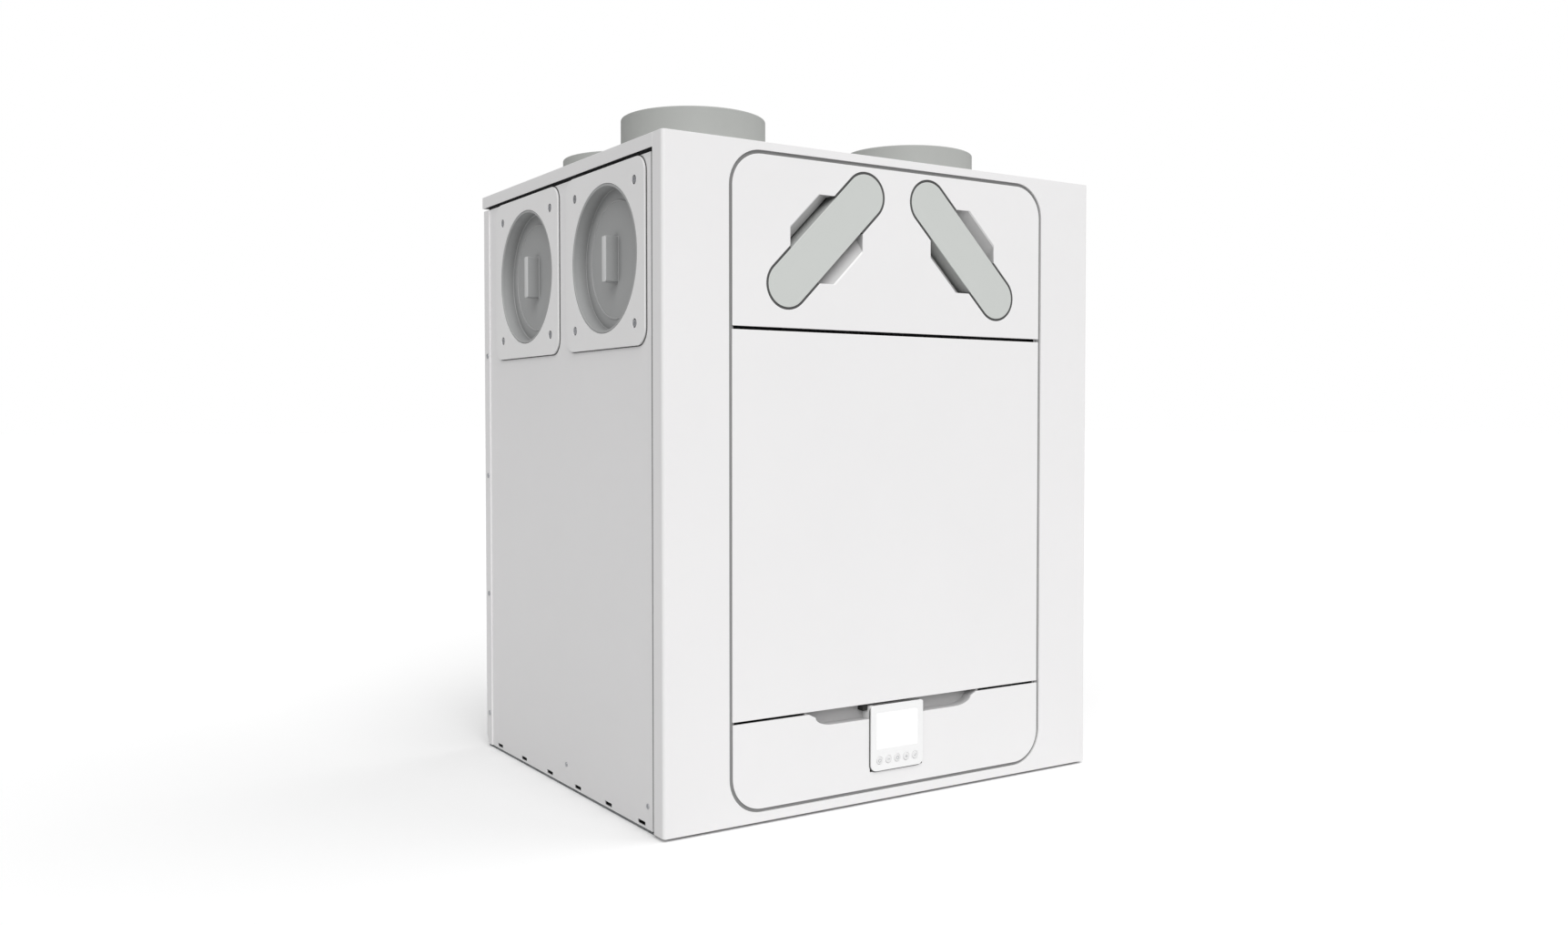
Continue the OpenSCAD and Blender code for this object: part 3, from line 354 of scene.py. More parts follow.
def make_materials():
    made = MATERIALS
    front = FRONT_Y * MM
    # Each edge= colour below is a painted highlight along sharp edges, each hollow= reach paints shade into
    # corners and hollows, and scuff= marks are wear.
    made["paint"] = surface("powder_coat", WHITE, 0.38, 0.0009, 0.22, 0.006, edge=BRIGHT, scuff=0.04)
    # The front moulding's body behind its face is painted darker: painted shade in the finger pockets.
    made["pocketed"] = painted_shade_behind_face("front_moulding", WHITE, shade(WHITE, 0.62), front + 0.0015, 0.42, 0.0006)
    made["port"] = surface("port_moulding", (0.87, 0.865, 0.865), 0.5, 0.0006, 0.3, 0.01, edge=BRIGHT)
    # The filter covers' side walls behind the face are painted darker grey: painted shade on the walls seen
    # in the pockets.
    made["cover"] = painted_shade_behind_face("cover_plastic", COVER_GREY, (0.44, 0.45, 0.44), front + 0.0012, 0.5, 0.0005)
    made["cap"] = surface("cap_plastic", (0.40, 0.405, 0.405), 0.55, 0.0006, 0.4, 0.02,
        edge=(0.55, 0.55, 0.55), scuff=0.1, hollow=0.018)
    # The lighter grey of each cap's rib crest is a painted highlight.
    made["grip"] = surface("cap_grip", (0.66, 0.665, 0.665), 0.5, 0.0006, 0.4, 0.02,
        edge=(0.75, 0.75, 0.75))
    made["spigot"] = surface("spigot_plastic", (0.40, 0.41, 0.395), 0.55, 0.0008, 0.4, 0.02,
        edge=(0.60, 0.60, 0.58), scuff=0.1)
    made["seal"] = surface("seal_grey", (0.30, 0.30, 0.30), 0.8, 0.0012, 0.5, 0.04)
    made["rubber"] = surface("rubber_black", (0.03, 0.03, 0.03), 0.75, 0.001, 0.4, 0.1)
    # This near-black is used only for painted shadow lines in gaps and at edges.
    made["line"] = surface("shadow_line_black", (0.09, 0.09, 0.09), 0.8, 0.001, 0.4, 0.1)
    # The base tray's galvanised sheet is given a dark tone, which also paints the shade at the casing's
    # bottom edges.
    made["tray"] = brushed("galvanised_sheet_and_shade", (0.32, 0.33, 0.34), 0.5, (1.0, 0.05, 1.0))
    made["zinc"] = brushed("zinc_plate", (0.55, 0.56, 0.58), 0.32, (0.05, 1.0, 1.0))
    made["display"] = surface("display_plastic", (0.90, 0.90, 0.90), 0.32, 0.0004, 0.12, 0.006, edge=BRIGHT)
    made["key"] = surface("key_plastic", (0.80, 0.80, 0.80), 0.6, 0.0004, 0.3, 0.02)
    made["glyph"] = surface("glyph_ink", (0.42, 0.43, 0.44), 0.7, 0.0004, 0.2, 0.05)
    made["screen"] = surface("screen_glow", (0.95, 0.95, 0.95), 0.2, 0.0004, 0.05, 0.01, coat=0.6)
    lamp = made["screen"].node_tree.nodes["Principled BSDF"]
    lamp.inputs["Emission Color"].default_value = (1.0, 1.0, 1.0, 1.0)
    lamp.inputs["Emission Strength"].default_value = 0.45
    made["board"] = surface("board_green", (0.03, 0.16, 0.07), 0.35, 0.0015, 0.2, 0.2, coat=0.3,
        mottle=150.0)
    made["foam"] = bead_foam()
    made["film"] = surface("exchanger_film", (0.62, 0.68, 0.74), 0.3, 0.004, 0.8, 0.05)
    made["dark"] = surface("dark_moulding", (0.07, 0.075, 0.08), 0.45, 0.0008, 0.4, 0.1, scuff=0.3)
    made["strap"] = woven("strap_webbing", (0.03, 0.03, 0.032), 0.0012)
    made["stitch"] = surface("stitch_thread", (0.35, 0.36, 0.38), 0.9, 0.0004, 0.6, 0.1)
    made["card"] = surface("filter_card", (0.72, 0.71, 0.66), 0.85, 0.0008, 0.5, 0.04, mottle=40.0)
    made["wool"] = surface("filter_wool", (0.82, 0.82, 0.80), 0.95, 0.0012, 1.0, 0.04, mottle=40.0)
    made["glue"] = surface("glue_bead", (0.75, 0.73, 0.62), 0.25, 0.002, 0.3, 0.05, coat=0.5)
    made["fan"] = surface("fan_plastic", (0.03, 0.03, 0.034), 0.4, 0.0008, 0.3, 0.15, scuff=0.2)
    made["impeller"] = surface("impeller_plastic", (0.55, 0.56, 0.58), 0.4, 0.0008, 0.3, 0.03)
    made["aluminium"] = surface("cast_aluminium", (0.45, 0.46, 0.47), 0.4, 0.001, 0.4, 0.05, metallic=1.0)
    made["gland"] = surface("gland_plastic", (0.03, 0.03, 0.03), 0.5, 0.0006, 0.4, 0.2,
        edge=(0.12, 0.12, 0.12))


DRESS = {
    "paint": ["front_frame", "left_side_panel", "right_side_panel", "rear_panel", "top_panel",
        "service_panel"],
    "pocketed": ["upper_front_panel", "lower_front_panel"],
    "port": ["side_port_plates"],
    "cover": COVER_NAMES,
    "cap": CAP_NAMES,
    "spigot": SPIGOT_NAMES,
    "seal": ["front_seal"],
    "rubber": ["cover_seal_left", "cover_seal_right", "rear_buffers"],
    "zinc": ["wall_bracket", "casing_screws", "temperature_sensors"],
    "tray": ["base_tray"],
    "display": ["display_housing"],
    "key": KEY_NAMES,
    "screen": ["display_screen"],
    "board": ["display_board", "control_board"],
    "foam": ["foam_top", "foam_surround", "foam_rear", "foam_base", "service_panel_liner"],
    "film": ["exchanger_plates"],
    "dark": ["exchanger_frame", "condensate_tray", "bypass_frame"],
    "strap": ["exchanger_strap"],
    "card": ["filter_frame_left", "filter_frame_right"],
    "wool": ["filter_media_left", "filter_media_right"],
    "fan": ["fan_scrolls", "fan_inlet_rings", "bypass_actuator", "control_box"],
    "impeller": ["impeller_left", "impeller_right"],
    "aluminium": ["fan_motors", "bypass_flap"],
    "gland": ["drain_socket", "cable_glands"],
}


def dress_nodes():
    for look, names in DRESS.items():
        for name in names:
            mesh = NODES[name].data
            mesh.materials.clear()
            mesh.materials.append(MATERIALS[look])


# ---------- softened edges of the CAD nodes ----------

SOFT_EDGES = {
    0.8: ["front_frame", "top_panel", "lower_front_panel", "service_panel"],
    0.4: ["left_side_panel", "right_side_panel", "rear_panel", "base_tray", "wall_bracket"],
    1.5: ["side_port_plates", *CAP_NAMES],
    1.2: SPIGOT_NAMES,
    0.7: ["display_housing"],
    0.5: ["upper_front_panel", *COVER_NAMES, *KEY_NAMES, "exchanger_frame", "condensate_tray",
        "bypass_actuator", "control_box", "cable_glands"],
    0.3: ["casing_screws", "control_board", "rear_buffers", "filter_frame_left", "filter_frame_right"],
}
WELD_REACH = 0.00001
FLAT_TURN = math.radians(0.5)
EDGE_TURN = math.radians(38.0)
SMOOTH_TURN = math.radians(40.0)


def soften_nodes():
    """Rounds sharp edges by modifiers, which leave the CAD meshes as they are."""
    for width, names in SOFT_EDGES.items():
        for name in names:
            add_bevel(NODES[name], width * MM, weld=True)


def add_bevel(thing, width, weld=False):
    """Rounds a thing's edges; weld first joins its loose triangles into flat faces."""
    if weld:
        thing.modifiers.new("weld", "WELD").merge_threshold = WELD_REACH
        merge = thing.modifiers.new("merge", "DECIMATE")
        merge.decimate_type = "DISSOLVE"
        merge.angle_limit = FLAT_TURN
    bevel = thing.modifiers.new("bevel", "BEVEL")
    bevel.width = width
    bevel.segments = 2
    bevel.limit_method = "ANGLE"
    bevel.angle_limit = EDGE_TURN
    normals = thing.modifiers.new("normals", "WEIGHTED_NORMAL")
    normals.weight = 60
    normals.keep_sharp = False


# ---------- building pieces ----------

def facing(place, axis, up=(0.0, 0.0, 1.0)):
    """A frame in millimetres at a place whose Z runs along the axis and whose Y leans towards up."""
    z = Vector(axis).normalized()
    x = Vector(up).cross(z)
    if x.length < 0.001:
        x = Vector((1.0, 0.0, 0.0))
    x.normalize()
    y = z.cross(x)
    turn = Matrix((x, y, z)).transposed().to_4x4()
    return Matrix.Translation(Vector(place) * MM) @ turn @ Matrix.Scale(MM, 4)


PLAIN = Matrix.Scale(MM, 4)


def upright(x, y, z=0.0, turn=0.0):
    """A frame in millimetres that stands at a place and is turned about its Z."""
    return Matrix.Translation(Vector((x, y, z)) * MM) @ Matrix.Rotation(turn, 4, "Z") @ PLAIN


def frame_from(place, x, z):
    """A frame in millimetres with X along x and Z along z."""
    y = z.cross(x)
    turn = Matrix((x, y, z)).transposed().to_4x4()
    return Matrix.Translation(place * MM) @ turn @ Matrix.Scale(MM, 4)


def side_on():
    """A frame in millimetres whose X is the world's Y, Y the world's Z and Z the world's X."""
    return Matrix(((0, 0, 1, 0), (1, 0, 0, 0), (0, 1, 0, 0), (0, 0, 0, 1))).to_4x4() @ PLAIN


class Shape:
    """Collects the solids of one piece; all sizes are in millimetres."""

    def __init__(self):
        self.mesh = bmesh.new()

    def loop(self, points, at):
        return [self.mesh.verts.new(at @ Vector(p)) for p in points]

    def bridge(self, first, second):
        count = len(first)
        for i in range(count):
            j = (i + 1) % count
            self.mesh.faces.new((first[i], first[j], second[j], second[i]))

    def stack(self, loops, at=PLAIN):
        """Joins loops of points of equal length, and closes both ends."""
        rings = [self.loop(points, at) for points in loops]
        for first, second in zip(rings, rings[1:]):
            self.bridge(first, second)
        self.mesh.faces.new(list(reversed(rings[0])))
        self.mesh.faces.new(rings[-1])

    def prism(self, outline, low, high, at=PLAIN, soft=0.0):
        """A flat outline raised from low to high, with its top edge drawn in by soft."""
        levels = [(low, 0.0), (high - soft, 0.0), (high, soft)] if soft else [(low, 0.0), (high, 0.0)]
        loops = [[(x, y, level) for x, y in inset(outline, draw)] for level, draw in levels]
        self.stack(loops, at)

    def box(self, low, high, at=PLAIN, soft=0.0):
        (x0, y0, z0), (x1, y1, z1) = low, high
        self.prism([(x0, y0), (x1, y0), (x1, y1), (x0, y1)], z0, z1, at, soft)

    def ring(self, profile, at=PLAIN, steps=48):
        """A closed profile of (radius, height) points turned about Z."""
        turns = []
        for i in range(steps):
            angle = 2 * math.pi * i / steps
            turns.append(self.loop([(r * math.cos(angle), r * math.sin(angle), h) for r, h in profile], at))
        for i in range(steps):
            self.bridge(turns[i], turns[(i + 1) % steps])

    def disc(self, profile, at=PLAIN, steps=32):
        """An open profile of (radius, height) points turned about Z and closed at both ends."""
        angles = [2 * math.pi * i / steps for i in range(steps)]
        self.stack([[(r * math.cos(a), r * math.sin(a), h) for a in angles] for r, h in profile], at)

    def band(self, path, inner, outer, low, high, at=PLAIN):
        """A flat strip between two offsets of an open path, from low to high."""
        near = offset_path(path, inner)
        far = offset_path(path, outer)
        self.prism(near + far[::-1], low, high, at)

    def rod(self, path, radius, sides=8):
        """A round rod along points given in millimetres."""
        points = [Vector(p) for p in path]
        angles = [2 * math.pi * k / sides for k in range(sides)]
        loops = []
        for i, point in enumerate(points):
            ahead = points[min(i + 1, len(points) - 1)] - points[max(i - 1, 0)]
            turn = facing((0, 0, 0), ahead, (0.3, 0.2, 0.9)).to_3x3() * (1 / MM)
            loops.append([tuple(point + turn @ Vector((radius * math.cos(a), radius * math.sin(a), 0)))
                for a in angles])
        self.stack(loops)

    def finish(self, name, body, look, bevel=0.0, smooth=True):
        """Makes the piece and lets it ride on its body."""
        bmesh.ops.recalc_face_normals(self.mesh, faces=self.mesh.faces[:])
        mesh = bpy.data.meshes.new(name)
        self.mesh.to_mesh(mesh)
        self.mesh.free()
        mesh.materials.append(MATERIALS[look])
        piece = bpy.data.objects.new(name, mesh)
        bpy.context.scene.collection.objects.link(piece)
        if smooth:
            mesh.set_sharp_from_angle(angle=SMOOTH_TURN)
        if bevel:
            add_bevel(piece, bevel * MM)
        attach(piece, body)


def inset(outline, draw):
    """The outline moved inwards by draw along its corners' bisectors."""
    if not draw:
        return outline
    count = len(outline)
    area = sum(outline[i][0] * outline[(i + 1) % count][1] - outline[(i + 1) % count][0] * outline[i][1]
        for i in range(count))
    side = 1.0 if area > 0 else -1.0
    moved = []
    for i in range(count):
        before, here, after = (Vector(outline[k % count]) for k in (i - 1, i, i + 1))
        a = (here - before).normalized()
        b = (after - here).normalized()
        normal = Vector((-(a.y + b.y), a.x + b.x)) * side
        normal.normalize()
        lean = max(0.3, normal.dot(Vector((-a.y, a.x)) * side))
        moved.append(tuple(here + normal * draw / lean))
    return moved


def offset_path(path, distance):
    """An open path moved sideways to its left."""
    moved = []
    for i, point in enumerate(path):
        ahead = Vector(path[min(i + 1, len(path) - 1)]) - Vector(path[max(i - 1, 0)])
        ahead.normalize()
        moved.append((point[0] - ahead.y * distance, point[1] + ahead.x * distance))
    return moved


def rounded(x0, x1, y0, y1, radius, steps=8):
    """The outline of a rectangle with round corners."""
    points = []
    for cx, cy, start in ((x1 - radius, y1 - radius, 0), (x0 + radius, y1 - radius, 90),
            (x0 + radius, y0 + radius, 180), (x1 - radius, y0 + radius, 270)):
        for i in range(steps + 1):
            angle = math.radians(start + 90 * i / steps)
            points.append((cx + radius * math.cos(angle), cy + radius * math.sin(angle)))
    return points


def rounded_square(half, radius):
    return rounded(-half, half, -half, half, radius)


def add_frame(shape, outer, inner, low, high, at):
    """A closed band between two outlines of equal point count."""
    levels = [[(x, y, low) for x, y in outer], [(x, y, high) for x, y in outer],
        [(x, y, high) for x, y in inner], [(x, y, low) for x, y in inner]]
    rings = [shape.loop(points, at) for points in levels]
    for i in range(4):
        shape.bridge(rings[i], rings[(i + 1) % 4])


def cross_screw(shape, at, radius):
    """A domed screw head with a raised cross."""
    shape.disc([(radius, -0.1), (radius, 0.5), (radius * 0.85, 1.1), (radius * 0.6, 1.45),
        (radius * 0.5, 1.5)], at, 24)
    arm, slot = radius * 0.5, radius * 0.13
    for turn in (0, 90):
        spin = at @ Matrix.Rotation(math.radians(turn), 4, "Z")
        shape.box((-arm, -slot, 1.4), (arm, slot, 1.62), spin)


# ---------- places and sizes in millimetres, as in the CAD ----------

def edges(node):
    low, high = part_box(node)
    return low / MM, high / MM


def centre(node):
    low, high = edges(node)
    return (low + high) / 2


def side_of(x):
    return -1.0 if x < 0 else 1.0


FRONT_Y = edges("front_frame")[0].y
FRAME_BACK = edges("front_frame")[1].y
SIDE_LOW, SIDE_HIGH = edges("left_side_panel")
SIDE_FACE = abs(SIDE_LOW.x)
REAR_Y = edges("rear_panel")[1].y
LID_LOW, LID_HIGH = edges("top_panel")
CASE_TOP = LID_HIGH.z

PANEL_JOINT = 9.0
PORT_HALF = 217 / 2
PORT_CORNER = 20
PORT_SCREW = 165 / 2
PLATE_FACE = 3.0
SEAT_DEPTH = 1.7
CAP_DEPTH = 18.0
RIB_W = 11.0
RIB_H = 56.0
RIB_TOP = CAP_DEPTH - 1.0
HOUSING_CORNER = 8.0
PANEL_SHEET = 3.0
SPIGOT_WALL = 4.0
BOARD_SHEET = 1.6
FILTER_HALF = 192 / 2
FILTER_FRONT, FILTER_BACK = FRONT_Y + 34, FRONT_Y + 264
EXCHANGER_SIDE = 90.0


# ---------- casing details ----------

def port_details():
    """A thin black rim round each port plate, a painted shadow along its edges, and a black ring in each of
    its screw seats, painted shade in the seat.
    """
    beads = Shape()
    seat_shades = Shape()
    shadow_out, shadow_in, shadow_rise = 1.1, 0.1, 0.9
    outer = rounded_square(PORT_HALF + shadow_out, PORT_CORNER + shadow_out)
    inner = rounded_square(PORT_HALF - shadow_in, PORT_CORNER - shadow_in)
    seat_shade = [(4.35, 0.0), (5.4, 0.0), (5.4, 0.35), (4.35, 0.35)]
    for name in CAP_NAMES:
        middle = centre(name)
        side = side_of(middle.x)
        at = facing((side * SIDE_FACE, middle.y, middle.z), (side, 0, 0))
        add_frame(beads, outer, inner, 0.0, shadow_rise, at)
        for u in (-PORT_SCREW, PORT_SCREW):
            for v in (-PORT_SCREW, PORT_SCREW):
                seat_shades.ring(seat_shade, at @ Matrix.Translation((u, v, PLATE_FACE - SEAT_DEPTH)), 24)
    # The black rim is a painted shadow at the plate's edges; the black rings are painted shade in the screw
    # seats.
    beads.finish("port_plate_shadow_lines", "casing", "line")
    seat_shades.finish("port_screw_seat_shades", "casing", "rubber")


def joint_shade_strips():
    """Grey strips in the joints between the front frame and the side panels, painted shade in these gaps."""
    strips = Shape()
    deep, shallow, edge_gap = 1.0, 0.35, 0.25
    foot, head = SIDE_LOW.z + 4.0, SIDE_HIGH.z - 0.5
    for _, side in SIDES:
        x0, x1 = sorted(side * (SIDE_FACE - depth) for depth in (deep, shallow))
        strips.box((x0, FRAME_BACK + edge_gap, foot), (x1, FRAME_BACK + PANEL_JOINT - edge_gap, head))
    # The grey strips are painted shade in the joints.
    strips.finish("frame_joint_shade_strips", "casing", "seal")


def cover_gap_shade():
    """A black strip in the gap round the ends of each filter cover, painted shade in that gap."""
    reach, straight = 46.0, 80.0
    gap_in, gap_out = 27.35, 30.0
    shade_front, shade_back = 1.1, 6.5
    steps = 16
    low, high = edges("filter_cover_left")
    place_x, place_z = abs((low.x + high.x) / 2), (low.z + high.z) / 2
    lips = Shape()
    for _, side in SIDES:
        along = Vector((-side, 0, 1)).normalized()
        at = frame_from(Vector((side * place_x, FRONT_Y, place_z)), along, Vector((0, 1, 0)))
        for end in (-1, 1):
            path = [(end * reach, gap_in)]
            for i in range(steps + 1):
                angle = math.pi / 2 - math.pi * i / steps
                path.append((end * (straight + gap_in * math.cos(angle)), gap_in * math.sin(angle)))
            path.append((end * reach, -gap_in))
            lips.band(path, 0.0, end * (gap_out - gap_in), shade_front, shade_back, at)
    # The black strips are painted shade in the gap round each cover.
    lips.finish("filter_gap_shade", "casing", "line")


def rear_details():
    """Pressed ribs, rivets and lid screws on the back."""
    ribs = Shape()
    rib_half, rib_low, rib_high = 17, 110, 690
    rib_profile = ((0, -0.1), (1.2, 0.5), (3.0, 1.0), (5.5, 1.25), (10.0, 1.3))
    at = facing((0, REAR_Y, 0), (0, 1, 0))
    for x in (-165, 0, 165):
        outline = rounded(x - rib_half, x + rib_half, rib_low, rib_high, rib_half - 0.01, 10)
        ribs.stack([[(u, v, rise) for u, v in inset(outline, draw)] for draw, rise in rib_profile], at)
    ribs.finish("rear_panel_ribs", "casing", "paint")
    rivets = Shape()
    dome = [(2.6, -0.1), (2.6, 0.3), (2.1, 0.9), (1.2, 1.25), (0.3, 1.35)]
    rivet_x, rivet_low, rivet_end, rivet_pitch = 300, 90, 760, 110
    for x in (-rivet_x, rivet_x):
        for z in range(rivet_low, rivet_end, rivet_pitch):
            rivets.disc(dome, facing((x, REAR_Y, z), (0, 1, 0)), 20)
    rivets.finish("rear_panel_rivets", "casing", "zinc")
    screws = Shape()
    screw_drop, screw_radius = 8, 3.6
    for x in (-290, -100, 100, 290):
        cross_screw(screws, facing((x, LID_HIGH.y, CASE_TOP - screw_drop), (0, 1, 0)), screw_radius)
    screws.finish("lid_screws", "casing", "zinc")


def spigot_details():
    """Stiffening ribs and a drip lip inside each spigot, and a gasket where it meets the lid."""
    ribs = Shape()
    gaskets = Shape()
    count, rib_half, rib_rise, sunk = 12, 0.9, 2.2, 0.2
    for name in SPIGOT_NAMES:
        low, high = edges(name)
        x, y = (low.x + high.x) / 2, (low.y + high.y) / 2
        rim = (high.x - low.x) / 2
        bore = rim - SPIGOT_WALL
        for i in range(count):
            at = upright(x, y, turn=2 * math.pi * i / count)
            ribs.box((bore - rib_rise, -rib_half, low.z + 3), (bore + sunk, rib_half, high.z - 4), at, 0.4)
        at = upright(x, y)
        ribs.ring([(bore - 1.6, low.z + 1), (bore + sunk, low.z + 1), (bore + sunk, low.z + 3.5),
            (bore - 1.6, low.z + 2.4)], at, 72)
        gaskets.ring([(rim - 1.5, CASE_TOP), (rim + 0.5, CASE_TOP), (rim + 0.4, CASE_TOP + 0.5),
            (rim - 1.5, CASE_TOP + 0.5)], at, 96)
    ribs.finish("spigot_ribs", "casing", "spigot")
    gaskets.finish("spigot_gaskets", "casing", "seal")


def gland_details():
    """Grip ridges on the dome nuts and a rubber insert in each gland."""
    ridges = Shape()
    inserts = Shape()
    low, high = edges("cable_glands")
    y = (low.y + high.y) / 2
    nut_radius, count = 14.0, 16
    ridge_low, ridge_high = (12.2, -0.8, CASE_TOP + 7), (13.2, 0.8, CASE_TOP + 15)
    foot, head = high.z - 6, high.z + 1.1
    insert = [(5.0, foot), (8.6, foot), (8.6, head - 0.5), (7.6, head), (5.4, head), (5.0, head - 0.5)]
    for x in (low.x + nut_radius, high.x - nut_radius):
        for i in range(count):
            ridges.box(ridge_low, ridge_high, upright(x, y, turn=2 * math.pi * i / count), 0.4)
        inserts.ring(insert, upright(x, y), 32)
    ridges.finish("gland_ridges", "casing", "gland")
    inserts.finish("gland_inserts", "casing", "rubber")


def buffer_details():
    """A rounded lip round each rear buffer and a small ring on its face."""
    lips = Shape()
    low, high = edges("rear_buffers")
    radius = (high.z - low.z) / 2
    lip = [(radius - 0.5, 0.0), (radius + 2.2, 0.0), (radius + 2.0, 0.9), (radius - 0.5, 1.4)]
    face_ring = [(4.0, 4.8), (6.0, 4.8), (5.6, 5.15), (4.4, 5.15)]
    for x in (low.x + radius, high.x - radius):
        at = facing((x, REAR_Y, (low.z + high.z) / 2), (0, 1, 0))
        lips.ring(lip, at, 40)
        lips.ring(face_ring, at, 32)
    lips.finish("rear_buffer_lips", "casing", "rubber")


def cap_details():
    """A raised ring on each cap's floor and a softened crest on its rib, painted lighter than the cap as a
    painted highlight.
    """
    half_w, half_h, corner = RIB_W / 2 - 0.5, RIB_H / 2 - 0.5, 2.3
    crest = RIB_TOP + 0.45
    levels = ((crest - 2.0, 0.0), (crest - 0.5, 0.0), (crest - 0.15, 0.3), (crest, 0.9))
    outline = rounded(-half_w, half_w, -half_h, half_h, corner, 6)
    floor_ring = [(70.0, -0.1), (72.4, -0.1), (72.0, 0.7), (70.4, 0.7)]
    for name in CAP_NAMES:
        middle = centre(name)
        side = side_of(middle.x)
        floor_x = side * (abs(LID_LOW.x) - CAP_DEPTH)
        at = facing((floor_x, middle.y, middle.z), (side, 0, 0))
        rings = Shape()
        rings.ring(floor_ring, at, 72)
        rings.finish(f"{name}_rings", name, "cap")
        # The crest piece is painted lighter: a painted highlight on the rib.
        grip = Shape()
        grip.stack([[(x, y, level) for x, y in inset(outline, draw)] for level, draw in levels], at)
        grip.finish(f"{name}_grip", name, "grip")


# ---------- front details ----------

def arc(radius, degrees):
    return [(radius * math.cos(math.radians(a)), radius * math.sin(math.radians(a))) for a in degrees]


def key_glyphs():
    """Plain raised symbols on the keys: power, minus, ring, plus and tick."""
    bar = [(-2, 0), (2, 0)]
    power = [arc(2.0, range(125, 416, 12)), [(0, 0.4), (0, 2.6)]]
    symbols = [power, [bar], [arc(1.9, range(0, 361, 15))], [bar, [(0, -2), (0, 2)]],
        [[(-2, 0), (-0.6, -1.6), (2.1, 1.8)]]]
    half_stroke, sunk, rise = 0.28, -0.05, 0.14
    for name, strokes in zip(KEY_NAMES, symbols):
        middle = centre(name)
        at = facing((middle.x, edges(name)[0].y, middle.z), (0, -1, 0))
        glyph = Shape()
        for stroke in strokes:
            glyph.band(stroke, -half_stroke, half_stroke, sunk, rise, at)
        glyph.finish(name.replace("key", "glyph"), name, "glyph", smooth=False)


def display_details():
    """A fine rim round the screen, a black line round the housing that is a painted shadow at its edge, and a
    black block beside the housing that is painted shade.
    """
    low, high = edges("display_screen")
    half = (high.x - low.x) / 2
    outer, inner = (rounded(-half + draw, half - draw, low.z + draw, high.z - draw, corner)
        for draw, corner in ((0.1, 1.5), (1.1, 1.0)))
    off, rise = 0.05, 0.12
    rim = Shape()
    add_frame(rim, outer, inner, -off, rise, facing((0, low.y - off, 0), (0, -1, 0)))
    rim.finish("screen_rim", "casing", "display")
    low, high = edges("display_housing")
    outer, inner = (rounded(low.x - grow, high.x + grow, low.z - grow, high.z + grow,
        HOUSING_CORNER + grow) for grow in (1.4, -0.3))
    sunk, rise = -0.2, 0.5
    # The black line round the housing is a painted shadow.
    seal = Shape()
    add_frame(seal, outer, inner, sunk, rise, facing((0, FRONT_Y, 0), (0, -1, 0)))
    seal.finish("display_shadow_line", "casing", "line")
    # The black block beside the housing, at the service panel's lower edge, is painted shade.
    opening_shade = Shape()
    joint_z = edges("service_panel")[0].z
    opening_shade.box((low.x - 7.5, FRONT_Y + 5.0, joint_z - 9.0), (low.x - 0.4, FRONT_Y + 15.9, joint_z + 3.0),
        soft=1.0)
    opening_shade.finish("display_opening_shade", "casing", "rubber")


def panel_details():
    """Hooks and magnets behind the service panel."""
    low, high = edges("service_panel")
    back, foot = FRONT_Y + PANEL_SHEET, high.z - 22
    hook = [(back, foot), (back + 9, foot), (back + 9, foot + 15), (back + 6.5, foot + 17),
        (back + 6.5, foot + 8), (back, foot + 10)]
    hook_half, magnet_half = 11, 16
    hooks = Shape()
    for x in (-170, 170):
        hooks.prism(hook, x - hook_half, x + hook_half, side_on())
    hooks.finish("panel_hooks", "service_panel", "zinc", bevel=0.4)
    magnets = Shape()
    for x in (-190, 190):
        magnets.box((x - magnet_half, back, low.z + 9.5), (x + magnet_half, back + 9, low.z + 19), soft=0.8)
    magnets.finish("panel_magnets", "service_panel", "dark")


# ---------- filters and exchanger ----------

def filter_details():
    """Glue beads over the pleats and folded flaps on the frame's corners."""
    crest, glue_radius, glue_gap, glue_rows = 20.4, 0.9, 6, (60, 115, 170)
    card_face, flap, lift = 24.0, 26, 0.5
    for name, side in SIDES:
        low, high = edges(f"filter_frame_{name}")
        place = Vector(((low.x + high.x) / 2, 0, (low.z + high.z) / 2))
        across = Vector((side, 0, 1)).normalized()
        along = Vector((-side, 0, 1)).normalized()
        glue = Shape()
        for v in (-crest, crest):
            for depth in glue_rows:
                ends = (-FILTER_HALF + glue_gap, FILTER_HALF - glue_gap)
                row = Vector((0, FILTER_FRONT + depth, 0))
                glue.rod([place + along * u + across * v + row for u in ends], glue_radius)
        glue.finish(f"filter_glue_{name}", f"filter_{name}", "glue")
        flaps = Shape()
        at = frame_from(place + Vector((0, FILTER_FRONT, 0)), along, Vector((0, 1, 0)))
        far = FILTER_BACK - FILTER_FRONT
        for v in (-card_face, card_face):
            rises = (0, lift * side_of(v))
            for edge, inward in ((0, flap), (far, -flap)):
                for end in (-1, 1):
                    tip = end * FILTER_HALF
                    corner = [(tip, edge), (end * (FILTER_HALF - flap), edge), (tip, edge + inward)]
                    flaps.stack([[(u, v + rise, w) for u, w in corner] for rise in rises], at)
        flaps.finish(f"filter_flaps_{name}", f"filter_{name}", "card", smooth=False)


